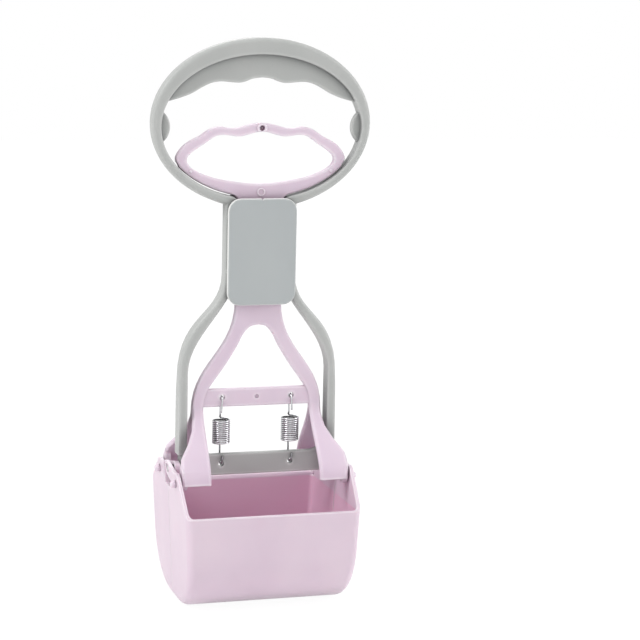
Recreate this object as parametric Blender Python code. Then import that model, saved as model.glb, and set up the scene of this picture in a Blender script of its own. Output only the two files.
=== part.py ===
"""Pooper scooper: a squeeze-handled scoop with two sprung jaws.

A grey frame (ring, neck, legs) carries a pink slider. Pulling the slider's finger ring up lifts
the hinges of the two jaws, while the frame's drive pins hold the middle of the jaws back, so the
jaws swing open. Two extension springs close them again.

Units are metres. X is across, Y is from front (-) to rear (+), Z is up, and the lowest point of
the closed jaws is at Z = 0. Angles are in radians.
"""

import math

import bmesh
import bpy
from mathutils import Matrix, Vector

# Driving sizes
TOTAL_HEIGHT = 0.280
RING_HALF_WIDTH = 0.0555
RING_UPPER_HEIGHT = 0.0416
RING_LOWER_HEIGHT = 0.0421
NECK_HALF_WIDTH = 0.0183
FRAME_DEPTH = 0.0080
JAW_RIM_HALF_WIDTH = 0.0444
JAW_HALF_DEPTH = 0.0388
RIM_Z = 0.0501
HINGE_Y = 0.0174
DRIVE_RISE = 0.0038
SLIDE_TRAVEL = 0.0130

# General values
CUT_OVERRUN = 0.002
EDGE_ROUND = 0.0009
OUTER_ROUND_SHARE = 0.0211
INNER_ROUND_SHARE = 0.0100
FINE_ROUND = 0.0004
MERGE_LIMIT = 0.000005
SEAT_GAP = 0.0003
SLIDE_GAP = 0.0004
CURVE_STEPS = 14
OVAL_STEPS = 72
MOUTH_STEPS = 5
ROUND_STEPS = 24
END_STEPS = 8
CORNER_STEPS = 6
SMALL_ROUND_STEPS = 12
SHARP_ANGLE = math.radians(35.0)
SLACK_SHARE = 0.1
MERGE_SHARE = 0.001
MARK_RISE = 0.0004

# Grey ring of the frame
TOP_BAND = 0.0083
SIDE_BAND = 0.0047
BOTTOM_BAND = 0.0049
WEB_DEPTH_SHARE = 0.38
PALM_WIDTH_SHARE = 0.933
PALM_LOW_SHARE = 0.675
PALM_HIGH_SHARE = 0.8425
BUMP_CHORD_SHARE = 0.231
BUMP_RISE = 0.0047

# Neck, channel and cover
RAIL_WIDTH = 0.0062
CHANNEL_BACK = 0.0015
BACK_PLATE_OVERLAP = 0.0008
BACK_PLATE_RISE = 0.0030
NECK_BOTTOM_SHARE = 0.6415
CHANNEL_STEP = 0.0020
BACK_PLATE_SHARE = 0.597
COVER_BOTTOM_SHARE = 0.473
COVER_INSET = 0.0008
COVER_LAP = 0.0055
COVER_THICKNESS = 0.0025
COVER_CORNER = 0.0064
COVER_ROUND_SHARE = 0.75
NOTCH_WIDTH = 0.0018
NOTCH_DEPTH = 0.0010
PAD_INSET = 0.0016
PAD_END_INSET = 0.0060

# Legs of the frame
LEG_INSET = 0.0038
LEG_WIDTH = 0.0045
LEG_STRAIGHT_SHARE = 0.064
INNER_STRAIGHT_SHARE = 0.098
OUTER_UPPER_SHARE = 0.242
OUTER_LOWER_SHARE = 0.366
INNER_UPPER_SHARE = 0.205
INNER_LOWER_SHARE = 0.215
LEG_END_WIDTH = 0.0030
LEG_SHOULDER_RISE = 0.0007

# Spring bars
BAR_DEPTH = 0.0026
GREY_BAR_DROP = 0.0011
GREY_BAR_HEIGHT = 0.0113
GREY_BAR_FILLET = 0.0085
GREY_HOLE_RISE = 0.0061
BAR_SPACING = 0.0353
PINK_BAR_HEIGHT = 0.0091
PINK_HOLE_RISE = 0.0047
SPRING_X_SHARE = 0.496
HOOK_HOLE_RADIUS = 0.0014
BAR_MARK_RADIUS = 0.0011
BAR_MARK_DEPTH_SHARE = 0.5

# Cover screws
SCREW_RADIUS = 0.0010
SCREW_HEAD_RADIUS = 0.0019
SCREW_HEAD_HEIGHT = 0.0012
SCREW_BITE = 0.0013
SCREW_GAP = 0.00015
SCREW_END_INSET = 0.0090
SCREW_DRIVE_RADIUS = 0.0009
SCREW_DRIVE_DEPTH = 0.0006
SCREW_DRIVE_SIDES = 6

# Pink slider: finger ring and stem
SLIDER_GAP = 0.0005
FINGER_TOP_SHARE = 0.5305
FINGER_WIDTH_SHARE = 0.8484
FINGER_FLOOR_GAP = 0.0028
FINGER_RING_GAP = 0.0006
FINGER_BAND = 0.0044
FINGER_SIDE_BAND = 0.0053
CORD_HOLE_RADIUS = 0.0014
CORD_HOLE_DROP = 0.0026
CORD_HOLE_FLOOR = 0.0008
CORD_BOSS_RADIUS = 0.0026
CORD_BOSS_RISE = 0.0004
STEM_MARK_RADIUS = 0.0021
STEM_MARK_HOLLOW = 0.0014
STEM_MARK_RISE = 0.0034
SIDE_MARK_RADIUS = 0.0008
SIDE_MARK_X_SHARE = 0.83
SIDE_MARK_Z_SHARE = 0.318
MOUTH_ROUND = 0.0030

# Pink slider: arms
ARM_INSET = 0.0071
ARM_WIDTH = 0.0060
ARM_TOP_SHARE = 0.486
ARM_UPPER_SHARE = 0.288
ARM_LOWER_SHARE = 0.277
ARM_END_DROP = 0.0021
FORK_APEX_SHARE = 0.355

# Pink slider: feet
FOOT_THICKNESS = 0.0030
FOOT_SKIN = 0.00012
FOOT_OVERLAP = 0.0012
FOOT_END_DROP = 0.0006
FOOT_REACH = 0.0049
FOOT_UPPER_HANDLE = 0.0110
FOOT_LOWER_HANDLE = 0.0135
FOOT_INSET = 0.0056
FOOT_STEPS = 12
LUG_THICKNESS = 0.0028
LUG_RADIUS = 0.0034
LUG_HEIGHT = 0.0100
LUG_SLOPE = 0.0040
LUG_TURN_SHARE = 0.95
LUG_START_SHARE = 0.85

# Jaws
JAW_DRAFT = 0.055
JAW_WALL = 0.0018
CURVE_TOP_SHARE = 0.59
BASE_SHARE = 0.205
BELLY_POWER = 2.1
JAW_EDGE_RADIUS = 0.0040
JAW_EDGE_STEPS = 5
JAW_GAP = 0.0003
REAR_LIP_RISE = 0.0022
LIP_SLOPE_SHARE = 0.59
WALL_MID_SHARE = 0.3
JAW_STEPS = 12
HINGE_RISE = 0.0129
WALL_MID_DROP = 0.0047

# Hinges and drive
EAR_RADIUS = 0.0053
ROOT_REACH = 0.0100
TONGUE_HALF_WIDTH = 0.0034
TONGUE_SKIN = 0.0001
TONGUE_END_WALL = 0.0014
SLOT_SIDE_GAP = 0.0005
PIN_RADIUS = 0.0015
PIN_GAP = 0.0003
PIN_STEPS = 20
EAR_GAP = 0.0005
PIN_HEAD_RADIUS = 0.0019
PIN_HEAD_LENGTH = 0.0024
PIN_HEAD_GAP = 0.0003
PIN_HEAD_STEPS = 5
PIN_HEAD_POWER = 0.6

# Springs
COIL_RADIUS = 0.0045
WIRE_RADIUS = 0.00038
COIL_PITCH = 0.00120
COIL_TURNS = 10
COIL_POINTS = 9
COIL_RISE_SHARE = 0.31
HOOK_GAP = 0.0004
HOOK_NEAR_SHARE = 0.8
LEAD_SHARE = 0.75
LEAD_TURNS_SHARE = 0.9
LOWER_HOOK_RISE = 0.0042
UPPER_HOOK_DROP = 0.0056

# Outlines as shares of the sizes they follow, from the middle outwards
PALM_WAVE_SHARES = (
    (0.00, 1.00), (0.10, 0.95), (0.18, 0.83), (0.25, 0.775), (0.35, 0.80), (0.45, 0.825),
    (0.55, 0.75), (0.65, 0.56), (0.74, 0.35), (0.86, 0.16), (1.00, 0.00),
)
FINGER_WAVE_SHARES = (
    (0.00, 0.000), (0.12, 0.020), (0.30, 0.075), (0.40, 0.070), (0.50, 0.055), (0.615, 0.098),
    (0.72, 0.185), (0.89, 0.300), (0.985, 0.440), (1.00, 0.530),
)
FINGER_LOW_SHARES = (0.932, 0.802, 0.605, 0.332, 0.090)
FINGER_HOLE_SHARES = (
    (0.00, 0.000), (0.09, 0.014), (0.27, 0.086), (0.40, 0.078), (0.51, 0.059), (0.63, 0.090),
    (0.77, 0.230), (0.93, 0.385), (1.00, 0.530), (0.91, 0.710), (0.615, 0.880), (0.21, 0.980),
)
FORK_ARCH_SHARES = (
    (0.00, 1.00), (0.13, 0.985), (0.23, 0.93), (0.31, 0.85), (0.375, 0.76), (0.575, 0.54),
    (0.80, 0.33), (0.93, 0.20), (0.985, 0.09), (1.00, 0.00),
)
FOOT_SPREAD_SHARES = (
    (0.00, 0.00), (0.18, 0.00), (0.32, 0.11), (0.45, 0.33), (0.57, 0.72), (0.69, 0.98),
    (0.80, 1.00), (1.00, 1.00),
)


class Finish:
    """Plain material values of one moulding or metal."""

    def __init__(self, name, colour, roughness, metallic):
        self.name = name
        self.colour = colour
        self.roughness = roughness
        self.metallic = metallic

    def material(self):
        """Return the Blender material, made on first use."""
        made = bpy.data.materials.get(self.name)
        if made:
            return made
        made = bpy.data.materials.new(self.name)
        made.use_nodes = True
        shader = made.node_tree.nodes["Principled BSDF"]
        shader.inputs["Base Color"].default_value = self.colour
        shader.inputs["Roughness"].default_value = self.roughness
        shader.inputs["Metallic"].default_value = self.metallic
        made.diffuse_color = self.colour
        return made


GREY_PLASTIC = Finish("grey_plastic", (0.45, 0.47, 0.47, 1.0), 0.42, 0.0)
PINK_PLASTIC = Finish("pink_plastic", (0.72, 0.58, 0.68, 1.0), 0.38, 0.0)
SPRING_STEEL = Finish("spring_steel", (0.62, 0.62, 0.64, 1.0), 0.25, 1.0)
SCREW_STEEL = Finish("screw_steel", (0.55, 0.55, 0.57, 1.0), 0.32, 1.0)


def clear_scene():
    """Remove the objects that a new file starts with."""
    for item in list(bpy.data.objects):
        bpy.data.objects.remove(item, do_unlink=True)


def bezier(p0, p1, p2, p3, steps):
    """Return the points of one cubic curve, both ends included."""
    points = []
    for index in range(steps + 1):
        t = index / steps
        s = 1.0 - t
        weights = (s * s * s, 3.0 * s * s * t, 3.0 * s * t * t, t * t * t)
        x = sum(w * p[0] for w, p in zip(weights, (p0, p1, p2, p3)))
        z = sum(w * p[1] for w, p in zip(weights, (p0, p1, p2, p3)))
        points.append((x, z))
    return points


def smooth(points, steps):
    """Return a smooth curve through the points (Catmull-Rom), both ends included."""
    path = [Vector(p) for p in points]
    first = path[0] * 2.0 - path[1]
    last = path[-1] * 2.0 - path[-2]
    knots = [first] + path + [last]
    result = []
    for index in range(1, len(knots) - 2):
        a, b, c, d = knots[index - 1:index + 3]
        for step in range(steps):
            t = step / steps
            result.append(0.5 * (2.0 * b + (c - a) * t + (2.0 * a - 5.0 * b + 4.0 * c - d) * t * t
                                 + (3.0 * b - a - 3.0 * c + d) * t * t * t))
    result.append(path[-1])
    return [tuple(p) for p in result]


def mirrored(half):
    """Return a closed outline from its right half, which runs from the middle to the middle."""
    left = [(-x, z) for x, z in reversed(half) if x > 0.0]
    return list(half) + left


def new_object(name, bm, finish):
    """Make an object from a bmesh, with its material and smooth shading."""
    bmesh.ops.recalc_face_normals(bm, faces=bm.faces)
    mesh = bpy.data.meshes.new(name)
    bm.to_mesh(mesh)
    bm.free()
    mesh.shade_smooth()
    mesh.set_sharp_from_angle(angle=SHARP_ANGLE)
    item = bpy.data.objects.new(name, mesh)
    bpy.context.scene.collection.objects.link(item)
    if finish:
        mesh.materials.append(finish.material())
    return item


def face_prism(points, extrusion):
    """Return a bmesh prism: the face through the points, extruded along a vector."""
    bm = bmesh.new()
    face = bm.faces.new([bm.verts.new(p) for p in points])
    grown = bmesh.ops.extrude_face_region(bm, geom=[face])
    verts = [g for g in grown["geom"] if isinstance(g, bmesh.types.BMVert)]
    bmesh.ops.translate(bm, verts=verts, vec=extrusion)
    bmesh.ops.recalc_face_normals(bm, faces=bm.faces)
    return bm


def plate(outline, front_y, back_y):
    """Return a bmesh plate from an outline in the XZ plane."""
    points = [(x, front_y, z) for x, z in outline]
    return face_prism(points, Vector((0.0, back_y - front_y, 0.0)))


def side_plate(outline, low_x, high_x):
    """Return a bmesh plate from an outline in the YZ plane."""
    points = [(low_x, y, z) for y, z in outline]
    return face_prism(points, Vector((high_x - low_x, 0.0, 0.0)))


def cylinder(radius, start, end, steps=ROUND_STEPS):
    """Return a bmesh cylinder from one point to another."""
    start = Vector(start)
    along = Vector(end) - start
    bm = bmesh.new()
    turn = Vector((0.0, 0.0, 1.0)).rotation_difference(along).to_matrix().to_4x4()
    place = Matrix.Translation(start + along * 0.5) @ turn
    bmesh.ops.create_cone(bm, cap_ends=True, segments=steps, radius1=radius, radius2=radius,
                          depth=along.length, matrix=place)
    return bm


def loft(rings):
    """Return a closed bmesh through rings of points, capped at both ends."""
    bm = bmesh.new()
    rows = [[bm.verts.new(p) for p in ring] for ring in rings]
    count = len(rows[0])
    for low, high in zip(rows, rows[1:]):
        for index in range(count):
            following = (index + 1) % count
            bm.faces.new((low[index], low[following], high[following], high[index]))
    bm.faces.new(rows[0])
    bm.faces.new(list(reversed(rows[-1])))
    bmesh.ops.recalc_face_normals(bm, faces=bm.faces)
    return bm


def turned(profile, origin, axis, steps=ROUND_STEPS):
    """Return a round bmesh along an axis, from (distance, radius) pairs of its profile."""
    axis = Vector(axis).normalized()
    turn = Vector((0.0, 0.0, 1.0)).rotation_difference(axis).to_matrix()
    rings = []
    for distance, radius in profile:
        ring = []
        for index in range(steps):
            angle = 2.0 * math.pi * index / steps
            spoke = turn @ Vector((math.cos(angle), math.sin(angle), 0.0))
            ring.append(Vector(origin) + axis * distance + spoke * radius)
        rings.append(ring)
    return loft(rings)


def merged(shapes):
    """Return one bmesh that holds several separate ones."""
    whole = bmesh.new()
    for shape in shapes:
        mesh = bpy.data.meshes.new("shape")
        shape.to_mesh(mesh)
        shape.free()
        whole.from_mesh(mesh)
        bpy.data.meshes.remove(mesh)
    return whole


def round_edges(bm, radius, segments, chosen):
    """Bevel the edges for which chosen(edge) is true."""
    edges = [edge for edge in bm.edges if chosen(edge)]
    bmesh.ops.bevel(bm, geom=edges, offset=radius, segments=segments, profile=0.5,
                    affect="EDGES", clamp_overlap=True)
    bmesh.ops.remove_doubles(bm, verts=bm.verts, dist=radius * MERGE_SHARE)


def on_plane(edge, axis, value, slack):
    """Say whether both ends of an edge lie at a value of one axis."""
    return all(abs(v.co[axis] - value) < slack for v in edge.verts)


def soften_plate(bm, front_y, back_y, radius, segments):
    """Round the front and back edges of a plate."""
    slack = radius * SLACK_SHARE
    round_edges(bm, radius, segments,
                lambda e: on_plane(e, 1, front_y, slack) or on_plane(e, 1, back_y, slack))


def open_base(corner):
    """Return the open edge across from an open corner, and where the corner lies along it."""
    sides = [edge for edge in corner.link_edges if edge.is_boundary]
    if len(sides) != 2:
        return None, None, 0.0
    first, last = (edge.other_vert(corner) for edge in sides)
    for base in first.link_edges:
        if base.is_boundary and base.other_vert(first) is last:
            along = last.co - first.co
            share = (corner.co - first.co).dot(along) / along.length_squared
            apart = (first.co + along * share - corner.co).length
            if 0.0 < share < 1.0 and apart < MERGE_LIMIT:
                return base, first, share
    return None, None, 0.0


def close_slivers(mesh):
    """Close the hair-thin gaps that a boolean leaves where three points lie in one line."""
    bm = bmesh.new()
    bm.from_mesh(mesh)
    for corner in [vert for vert in bm.verts if vert.is_boundary]:
        base, first, share = open_base(corner)
        if base is not None:
            middle = bmesh.utils.edge_split(base, first, share)[1]
            bmesh.ops.weld_verts(bm, targetmap={middle: corner})
    gaps = [edge for edge in bm.edges if edge.is_boundary]
    if gaps:
        bmesh.ops.holes_fill(bm, edges=gaps, sides=4)
    bm.to_mesh(mesh)
    bm.free()


def combine(item, bm, operation, overlapping=False):
    """Join a bmesh to an object, or cut it away, and apply the result.

    Say that its own shapes are overlapping where they cross each other.
    """
    other = new_object("tool_shape", bm, None)
    modifier = item.modifiers.new("combine", "BOOLEAN")
    modifier.operation = operation
    modifier.solver = "EXACT"
    modifier.object = other
    modifier.use_self = overlapping
    graph = bpy.context.evaluated_depsgraph_get()
    result = bpy.data.meshes.new_from_object(item.evaluated_get(graph))
    item.modifiers.remove(modifier)
    old = item.data
    item.data = result
    close_slivers(result)
    bpy.data.meshes.remove(old)
    bpy.data.objects.remove(other, do_unlink=True)


def add(item, bm, overlapping=False):
    """Fuse a bmesh with an object."""
    combine(item, bm, "UNION", overlapping)


def cut(item, bm):
    """Cut a bmesh away from an object."""
    combine(item, bm, "DIFFERENCE")


def tidy(item, limit):
    """Merge the flat remains of boolean cuts and shade the object again."""
    bm = bmesh.new()
    bm.from_mesh(item.data)
    bmesh.ops.remove_doubles(bm, verts=bm.verts, dist=limit)
    bmesh.ops.dissolve_degenerate(bm, edges=bm.edges, dist=limit)
    bm.to_mesh(item.data)
    bm.free()
    item.data.shade_smooth()
    item.data.set_sharp_from_angle(angle=SHARP_ANGLE)


def half_frame():
    """Return the half depth of the frame."""
    return FRAME_DEPTH / 2.0


def half_slider():
    """Return the half depth of the slider, which runs in the channel."""
    return half_frame() - CHANNEL_BACK - SLIDER_GAP


def leg_outer_x():
    """Return the outer side of a leg."""
    return JAW_RIM_HALF_WIDTH - LEG_INSET


def leg_inner_x():
    """Return the inner side of a leg."""
    return leg_outer_x() - LEG_WIDTH


def arm_outer_x():
    """Return the outer side of an arm of the slider."""
    return leg_outer_x() - ARM_INSET


def arm_inner_x():
    """Return the inner side of an arm of the slider."""
    return arm_outer_x() - ARM_WIDTH


def channel_half_width():
    """Return the half width of the channel in the neck."""
    return NECK_HALF_WIDTH - RAIL_WIDTH


def spring_x():
    """Return the distance of the springs from the middle."""
    return leg_inner_x() * SPRING_X_SHARE


def hinge_z():
    """Return the height of the jaws' hinges at rest."""
    return RIM_Z + HINGE_RISE


def drive_z():
    """Return the height of the drive pins."""
    return hinge_z() + DRIVE_RISE


def grey_bar_z():
    """Return the height of the underside of the grey spring bar."""
    return hinge_z() - GREY_BAR_DROP


def pink_bar_z():
    """Return the height of the underside of the pink spring bar."""
    return grey_bar_z() + BAR_SPACING


def ring_centre_z():
    """Return the height of the ring's centre."""
    return TOTAL_HEIGHT - RING_UPPER_HEIGHT


def ring_bottom_z():
    """Return the height of the underside of the ring."""
    return ring_centre_z() - RING_LOWER_HEIGHT


def span():
    """Return the height between the pink bar and the ring."""
    return ring_bottom_z() - pink_bar_z() - PINK_BAR_HEIGHT


def level(share):
    """Return a height between the top of the pink bar and the underside of the ring."""
    return ring_bottom_z() - span() * (1.0 - share)


def cover_top_z():
    """Return the height of the top of the front cover."""
    return ring_bottom_z() + COVER_LAP


def hole_half_width():
    """Return the half width of the ring's opening."""
    return RING_HALF_WIDTH - SIDE_BAND


def hole_bottom_z():
    """Return the height of the bottom of the ring's opening."""
    return ring_bottom_z() + BOTTOM_BAND


def hole_height():
    """Return the height of the ring's opening."""
    return TOTAL_HEIGHT - TOP_BAND - hole_bottom_z()


def hole_centre_z():
    """Return the height of the centre of the ring's opening."""
    return hole_bottom_z() + hole_height() / 2.0


def oval_arc(half_width, upper, lower, centre_z, last_x, steps):
    """Return the right half of an oval from its top down to where it meets a width."""
    turn = math.pi - math.asin(last_x / half_width)
    points = []
    for index in range(steps + 1):
        angle = turn * index / steps
        height = upper if math.cos(angle) > 0.0 else lower
        points.append((half_width * math.sin(angle), centre_z + height * math.cos(angle)))
    return points


def frame_outside():
    """Return the right half of the frame's outer outline, from the top to the leg's end."""
    half = oval_arc(RING_HALF_WIDTH, RING_UPPER_HEIGHT, RING_LOWER_HEIGHT, ring_centre_z(),
                    NECK_HALF_WIDTH, OVAL_STEPS // 2)
    neck = level(NECK_BOTTOM_SHARE)
    straight = level(LEG_STRAIGHT_SHARE)
    half += bezier((NECK_HALF_WIDTH, neck), (NECK_HALF_WIDTH, neck - span() * OUTER_UPPER_SHARE),
                   (leg_outer_x(), straight + span() * OUTER_LOWER_SHARE),
                   (leg_outer_x(), straight), CURVE_STEPS)
    shoulder = grey_bar_z() + GREY_BAR_HEIGHT + LEG_SHOULDER_RISE
    end_x = leg_inner_x() + LEG_END_WIDTH
    half.append((leg_outer_x(), shoulder))
    half.append((end_x, shoulder))
    half.append((end_x, grey_bar_z()))
    return half


def mouth_curve(start, x):
    """Return the rounding from a point on the ring's floor down to a side of the channel."""
    end = start[1] - MOUTH_ROUND
    slope = (start[0] / hole_half_width()) * (hole_height() / 2.0) / hole_half_width()
    reach = (start[0] - x) / 2.0
    return bezier(start, (start[0] - reach, start[1] - reach * slope), (x, end + MOUTH_ROUND / 2.0),
                  (x, end), MOUTH_STEPS)


def frame_inside():
    """Return the right half of the frame's inner outline, from the top to the leg's end."""
    channel = channel_half_width()
    half = oval_arc(hole_half_width(), hole_height() / 2.0, hole_height() / 2.0, hole_centre_z(),
                    channel + MOUTH_ROUND, OVAL_STEPS // 2)
    half += mouth_curve(half.pop(), channel)
    start = level(NECK_BOTTOM_SHARE) + CHANNEL_STEP
    end = level(INNER_STRAIGHT_SHARE)
    half += bezier((channel, start), (channel, start - span() * INNER_UPPER_SHARE),
                   (leg_inner_x(), end + span() * INNER_LOWER_SHARE), (leg_inner_x(), end), CURVE_STEPS)
    half.append((leg_inner_x(), grey_bar_z()))
    return half


def web_half_depth():
    """Return the half depth of the thin webs inside the ring."""
    return half_frame() * WEB_DEPTH_SHARE


def palm_web():
    """Return the thin web with the wavy palm edge under the top of the ring."""
    half_width = hole_half_width() * PALM_WIDTH_SHARE
    low = hole_bottom_z() + hole_height() * PALM_LOW_SHARE
    rise = hole_height() * (PALM_HIGH_SHARE - PALM_LOW_SHARE)
    wave = smooth([(half_width * a, low + rise * b) for a, b in PALM_WAVE_SHARES], 3)
    start = math.asin(PALM_WIDTH_SHARE)
    arch = []
    for index in range(CURVE_STEPS + 1):
        angle = start * (1.0 - index / CURVE_STEPS)
        arch.append(((hole_half_width() + SIDE_BAND / 2.0) * math.sin(angle),
                     hole_centre_z() + (hole_height() + TOP_BAND) / 2.0 * math.cos(angle)))
    depth = web_half_depth()
    bm = plate(mirrored(wave + arch), -depth, depth)
    soften_plate(bm, -depth, depth, FINE_ROUND, 1)
    return bm


def half_moon(side):
    """Return one half-moon bump on the inside of the ring."""
    chord = hole_height() * BUMP_CHORD_SHARE
    radius = (chord * chord / 4.0 + BUMP_RISE * BUMP_RISE) / (2.0 * BUMP_RISE)
    middle = hole_half_width() - BUMP_RISE + radius
    spread = math.asin(chord / 2.0 / radius)
    points = []
    for index in range(CURVE_STEPS + 1):
        angle = spread * (2.0 * index / CURVE_STEPS - 1.0)
        points.append((side * (middle - radius * math.cos(angle)),
                       hole_centre_z() + radius * math.sin(angle)))
    back = side * (hole_half_width() + SIDE_BAND / 2.0)
    points.append((back, hole_centre_z() + chord / 4.0))
    points.append((back, hole_centre_z() - chord / 4.0))
    depth = web_half_depth()
    bm = plate(points, -depth, depth)
    soften_plate(bm, -depth, depth, FINE_ROUND, 1)
    return bm


def grey_bar():
    """Return the lower spring bar with the fillets that rise to the legs."""
    top = grey_bar_z() + GREY_BAR_HEIGHT
    end = leg_inner_x() + LEG_END_WIDTH / 2.0
    start = leg_inner_x() - GREY_BAR_FILLET
    steps = CURVE_STEPS // 2
    half = [(0.0, top), (start, top)]
    for index in range(1, steps + 1):
        angle = index / steps * math.pi / 2.0
        half.append((start + GREY_BAR_FILLET * math.sin(angle),
                     top + GREY_BAR_FILLET * (1.0 - math.cos(angle))))
    half.append((end, top + GREY_BAR_FILLET))
    half.append((end, grey_bar_z() + FINE_ROUND))
    half.append((0.0, grey_bar_z() + FINE_ROUND))
    depth = BAR_DEPTH / 2.0
    bm = plate(mirrored(half), -depth, depth)
    soften_plate(bm, -depth, depth, FINE_ROUND, 1)
    return bm


def hole_through(x, z, radius, low_y, high_y):
    """Return a round cutter along Y."""
    return cylinder(radius, (x, low_y - CUT_OVERRUN, z), (x, high_y + CUT_OVERRUN, z))


def screw_places():
    """Return the places of the cover screws in the rails of the neck."""
    x = NECK_HALF_WIDTH - RAIL_WIDTH / 2.0
    low = level(NECK_BOTTOM_SHARE) + SCREW_HEAD_RADIUS
    high = cover_top_z() - SCREW_END_INSET
    return {"lower_left": (-x, low), "lower_right": (x, low),
            "upper_left": (-x, high), "upper_right": (x, high)}


def screw_hole(x, z):
    """Return the cutter of one screw hole through a rail, with the seat of the head."""
    depth = half_frame()
    seat = depth - SCREW_HEAD_HEIGHT - SCREW_GAP
    narrow = SCREW_RADIUS + SCREW_GAP
    wide = SCREW_HEAD_RADIUS + SCREW_GAP
    profile = [(-depth - CUT_OVERRUN, narrow), (seat, narrow), (seat, wide), (depth + CUT_OVERRUN, wide)]
    return turned(profile, (x, 0.0, z), (0.0, 1.0, 0.0))


def near_path(edge, path, slack):
    """Say whether both ends of an edge lie on the points of a path, on either side of the middle."""
    for vert in edge.verts:
        place = Vector((abs(vert.co.x), vert.co.z))
        if not any((place - Vector(point)).length < slack for point in path):
            return False
    return True


def frame_body():
    """Make the plain body of the frame: ring, neck and legs, rounder outside than inside."""
    depth = half_frame()
    outside = frame_outside()
    bm = plate(mirrored(outside + list(reversed(frame_inside()))), -depth, depth)
    slack = FINE_ROUND * SLACK_SHARE
    inner = span() * INNER_ROUND_SHARE
    outer = span() * OUTER_ROUND_SHARE
    for path, radius, segments in ((frame_inside(), inner, 2), (outside[:-3], outer, 3)):
        round_edges(bm, radius, segments,
                    lambda e, chosen=path: near_path(e, chosen, slack)
                    and (on_plane(e, 1, -depth, slack) or on_plane(e, 1, depth, slack)))
    return new_object("handle_frame", bm, GREY_PLASTIC)


def back_plate():
    """Return the plate that closes the channel at the rear of the neck."""
    depth = half_frame()
    reach = channel_half_width() + BACK_PLATE_OVERLAP
    low = level(BACK_PLATE_SHARE)
    middle = hole_bottom_z() - BOTTOM_BAND / 2.0
    wide = reach + MOUTH_ROUND
    top = hole_bottom_z() + BACK_PLATE_RISE
    half = [(0.0, top), (reach, top), (wide, hole_bottom_z()), (wide, middle), (reach, middle),
            (reach, low), (0.0, low)]
    return plate(mirrored(half), depth - CHANNEL_BACK, depth - SEAT_GAP)


def make_frame():
    """Make the grey handle frame."""
    item = frame_body()
    add(item, merged([palm_web(), half_moon(-1.0), half_moon(1.0), grey_bar(), back_plate()]))
    depth = half_frame()
    holes = [screw_hole(x, z) for x, z in screw_places().values()]
    for side in (-1.0, 1.0):
        z = grey_bar_z() + GREY_HOLE_RISE
        holes.append(hole_through(side * spring_x(), z, HOOK_HOLE_RADIUS, -depth, depth))
        reach = side * (leg_inner_x() + LEG_END_WIDTH + CUT_OVERRUN)
        start = side * (leg_inner_x() - CUT_OVERRUN)
        holes.append(cylinder(PIN_RADIUS + SCREW_GAP, (start, 0.0, drive_z()), (reach, 0.0, drive_z())))
    cut(item, merged(holes))
    tidy(item, MERGE_LIMIT)
    return item


def rounded_box_outline(half_width, low_z, high_z, corner):
    """Return a rectangle with round corners, clockwise from its top middle."""
    half = [(0.0, high_z)]
    corners = (((half_width - corner), high_z - corner, 0.0), ((half_width - corner), low_z + corner, 1.0))
    for centre_x, centre_z, quarter in corners:
        for index in range(CORNER_STEPS + 1):
            angle = (quarter + index / CORNER_STEPS) * math.pi / 2.0
            half.append((centre_x + corner * math.sin(angle), centre_z + corner * math.cos(angle)))
    half.append((0.0, low_z))
    return mirrored(half)


def make_cover():
    """Make the flat front cover, with its guide pad and screw holes."""
    top = cover_top_z()
    bottom = level(COVER_BOTTOM_SHARE)
    back = -half_frame() - SEAT_GAP
    front = back - COVER_THICKNESS
    outline = rounded_box_outline(NECK_HALF_WIDTH - COVER_INSET, bottom, top, COVER_CORNER)
    bm = plate(outline, front, back)
    soften_plate(bm, front, back, EDGE_ROUND * COVER_ROUND_SHARE, 2)
    item = new_object("front_cover", bm, GREY_PLASTIC)
    notch = [(-NOTCH_WIDTH / 2.0, top + CUT_OVERRUN), (NOTCH_WIDTH / 2.0, top + CUT_OVERRUN),
             (NOTCH_WIDTH / 2.0, top), (0.0, top - NOTCH_DEPTH), (-NOTCH_WIDTH / 2.0, top)]
    cut(item, plate(notch, front - CUT_OVERRUN, back + CUT_OVERRUN))
    pad = rounded_box_outline(channel_half_width() - PAD_INSET,
                              level(NECK_BOTTOM_SHARE) + CHANNEL_STEP + SLIDE_GAP,
                              top - PAD_END_INSET, PAD_INSET)
    add(item, plate(pad, back - COVER_THICKNESS / 2.0, -half_slider() - SLIDE_GAP))
    floor = back - SCREW_BITE - SCREW_GAP
    radius = SCREW_RADIUS + SCREW_GAP
    cut(item, merged([cylinder(radius, (x, floor, z), (x, CUT_OVERRUN, z))
                      for x, z in screw_places().values()]))
    tidy(item, MERGE_LIMIT)


def make_screws():
    """Make the four screws that hold the cover, each put in from behind."""
    depth = half_frame()
    seat = depth - SCREW_HEAD_HEIGHT
    tip = -depth - SEAT_GAP - SCREW_BITE
    for label, (x, z) in screw_places().items():
        profile = [(tip, SCREW_RADIUS), (seat, SCREW_RADIUS), (seat, SCREW_HEAD_RADIUS),
                   (depth - FINE_ROUND, SCREW_HEAD_RADIUS), (depth, SCREW_HEAD_RADIUS - FINE_ROUND)]
        item = new_object("screw_" + label, turned(profile, (x, 0.0, z), (0.0, 1.0, 0.0)), SCREW_STEEL)
        cut(item, cylinder(SCREW_DRIVE_RADIUS, (x, depth - SCREW_DRIVE_DEPTH, z),
                           (x, depth + CUT_OVERRUN, z), SCREW_DRIVE_SIDES))
        tidy(item, MERGE_LIMIT)


def finger_sizes():
    """Return half width, top and height of the finger ring."""
    half_width = hole_half_width() * FINGER_WIDTH_SHARE
    top = hole_bottom_z() + hole_height() * FINGER_TOP_SHARE
    return half_width, top, top - hole_bottom_z() - FINGER_FLOOR_GAP


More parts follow.
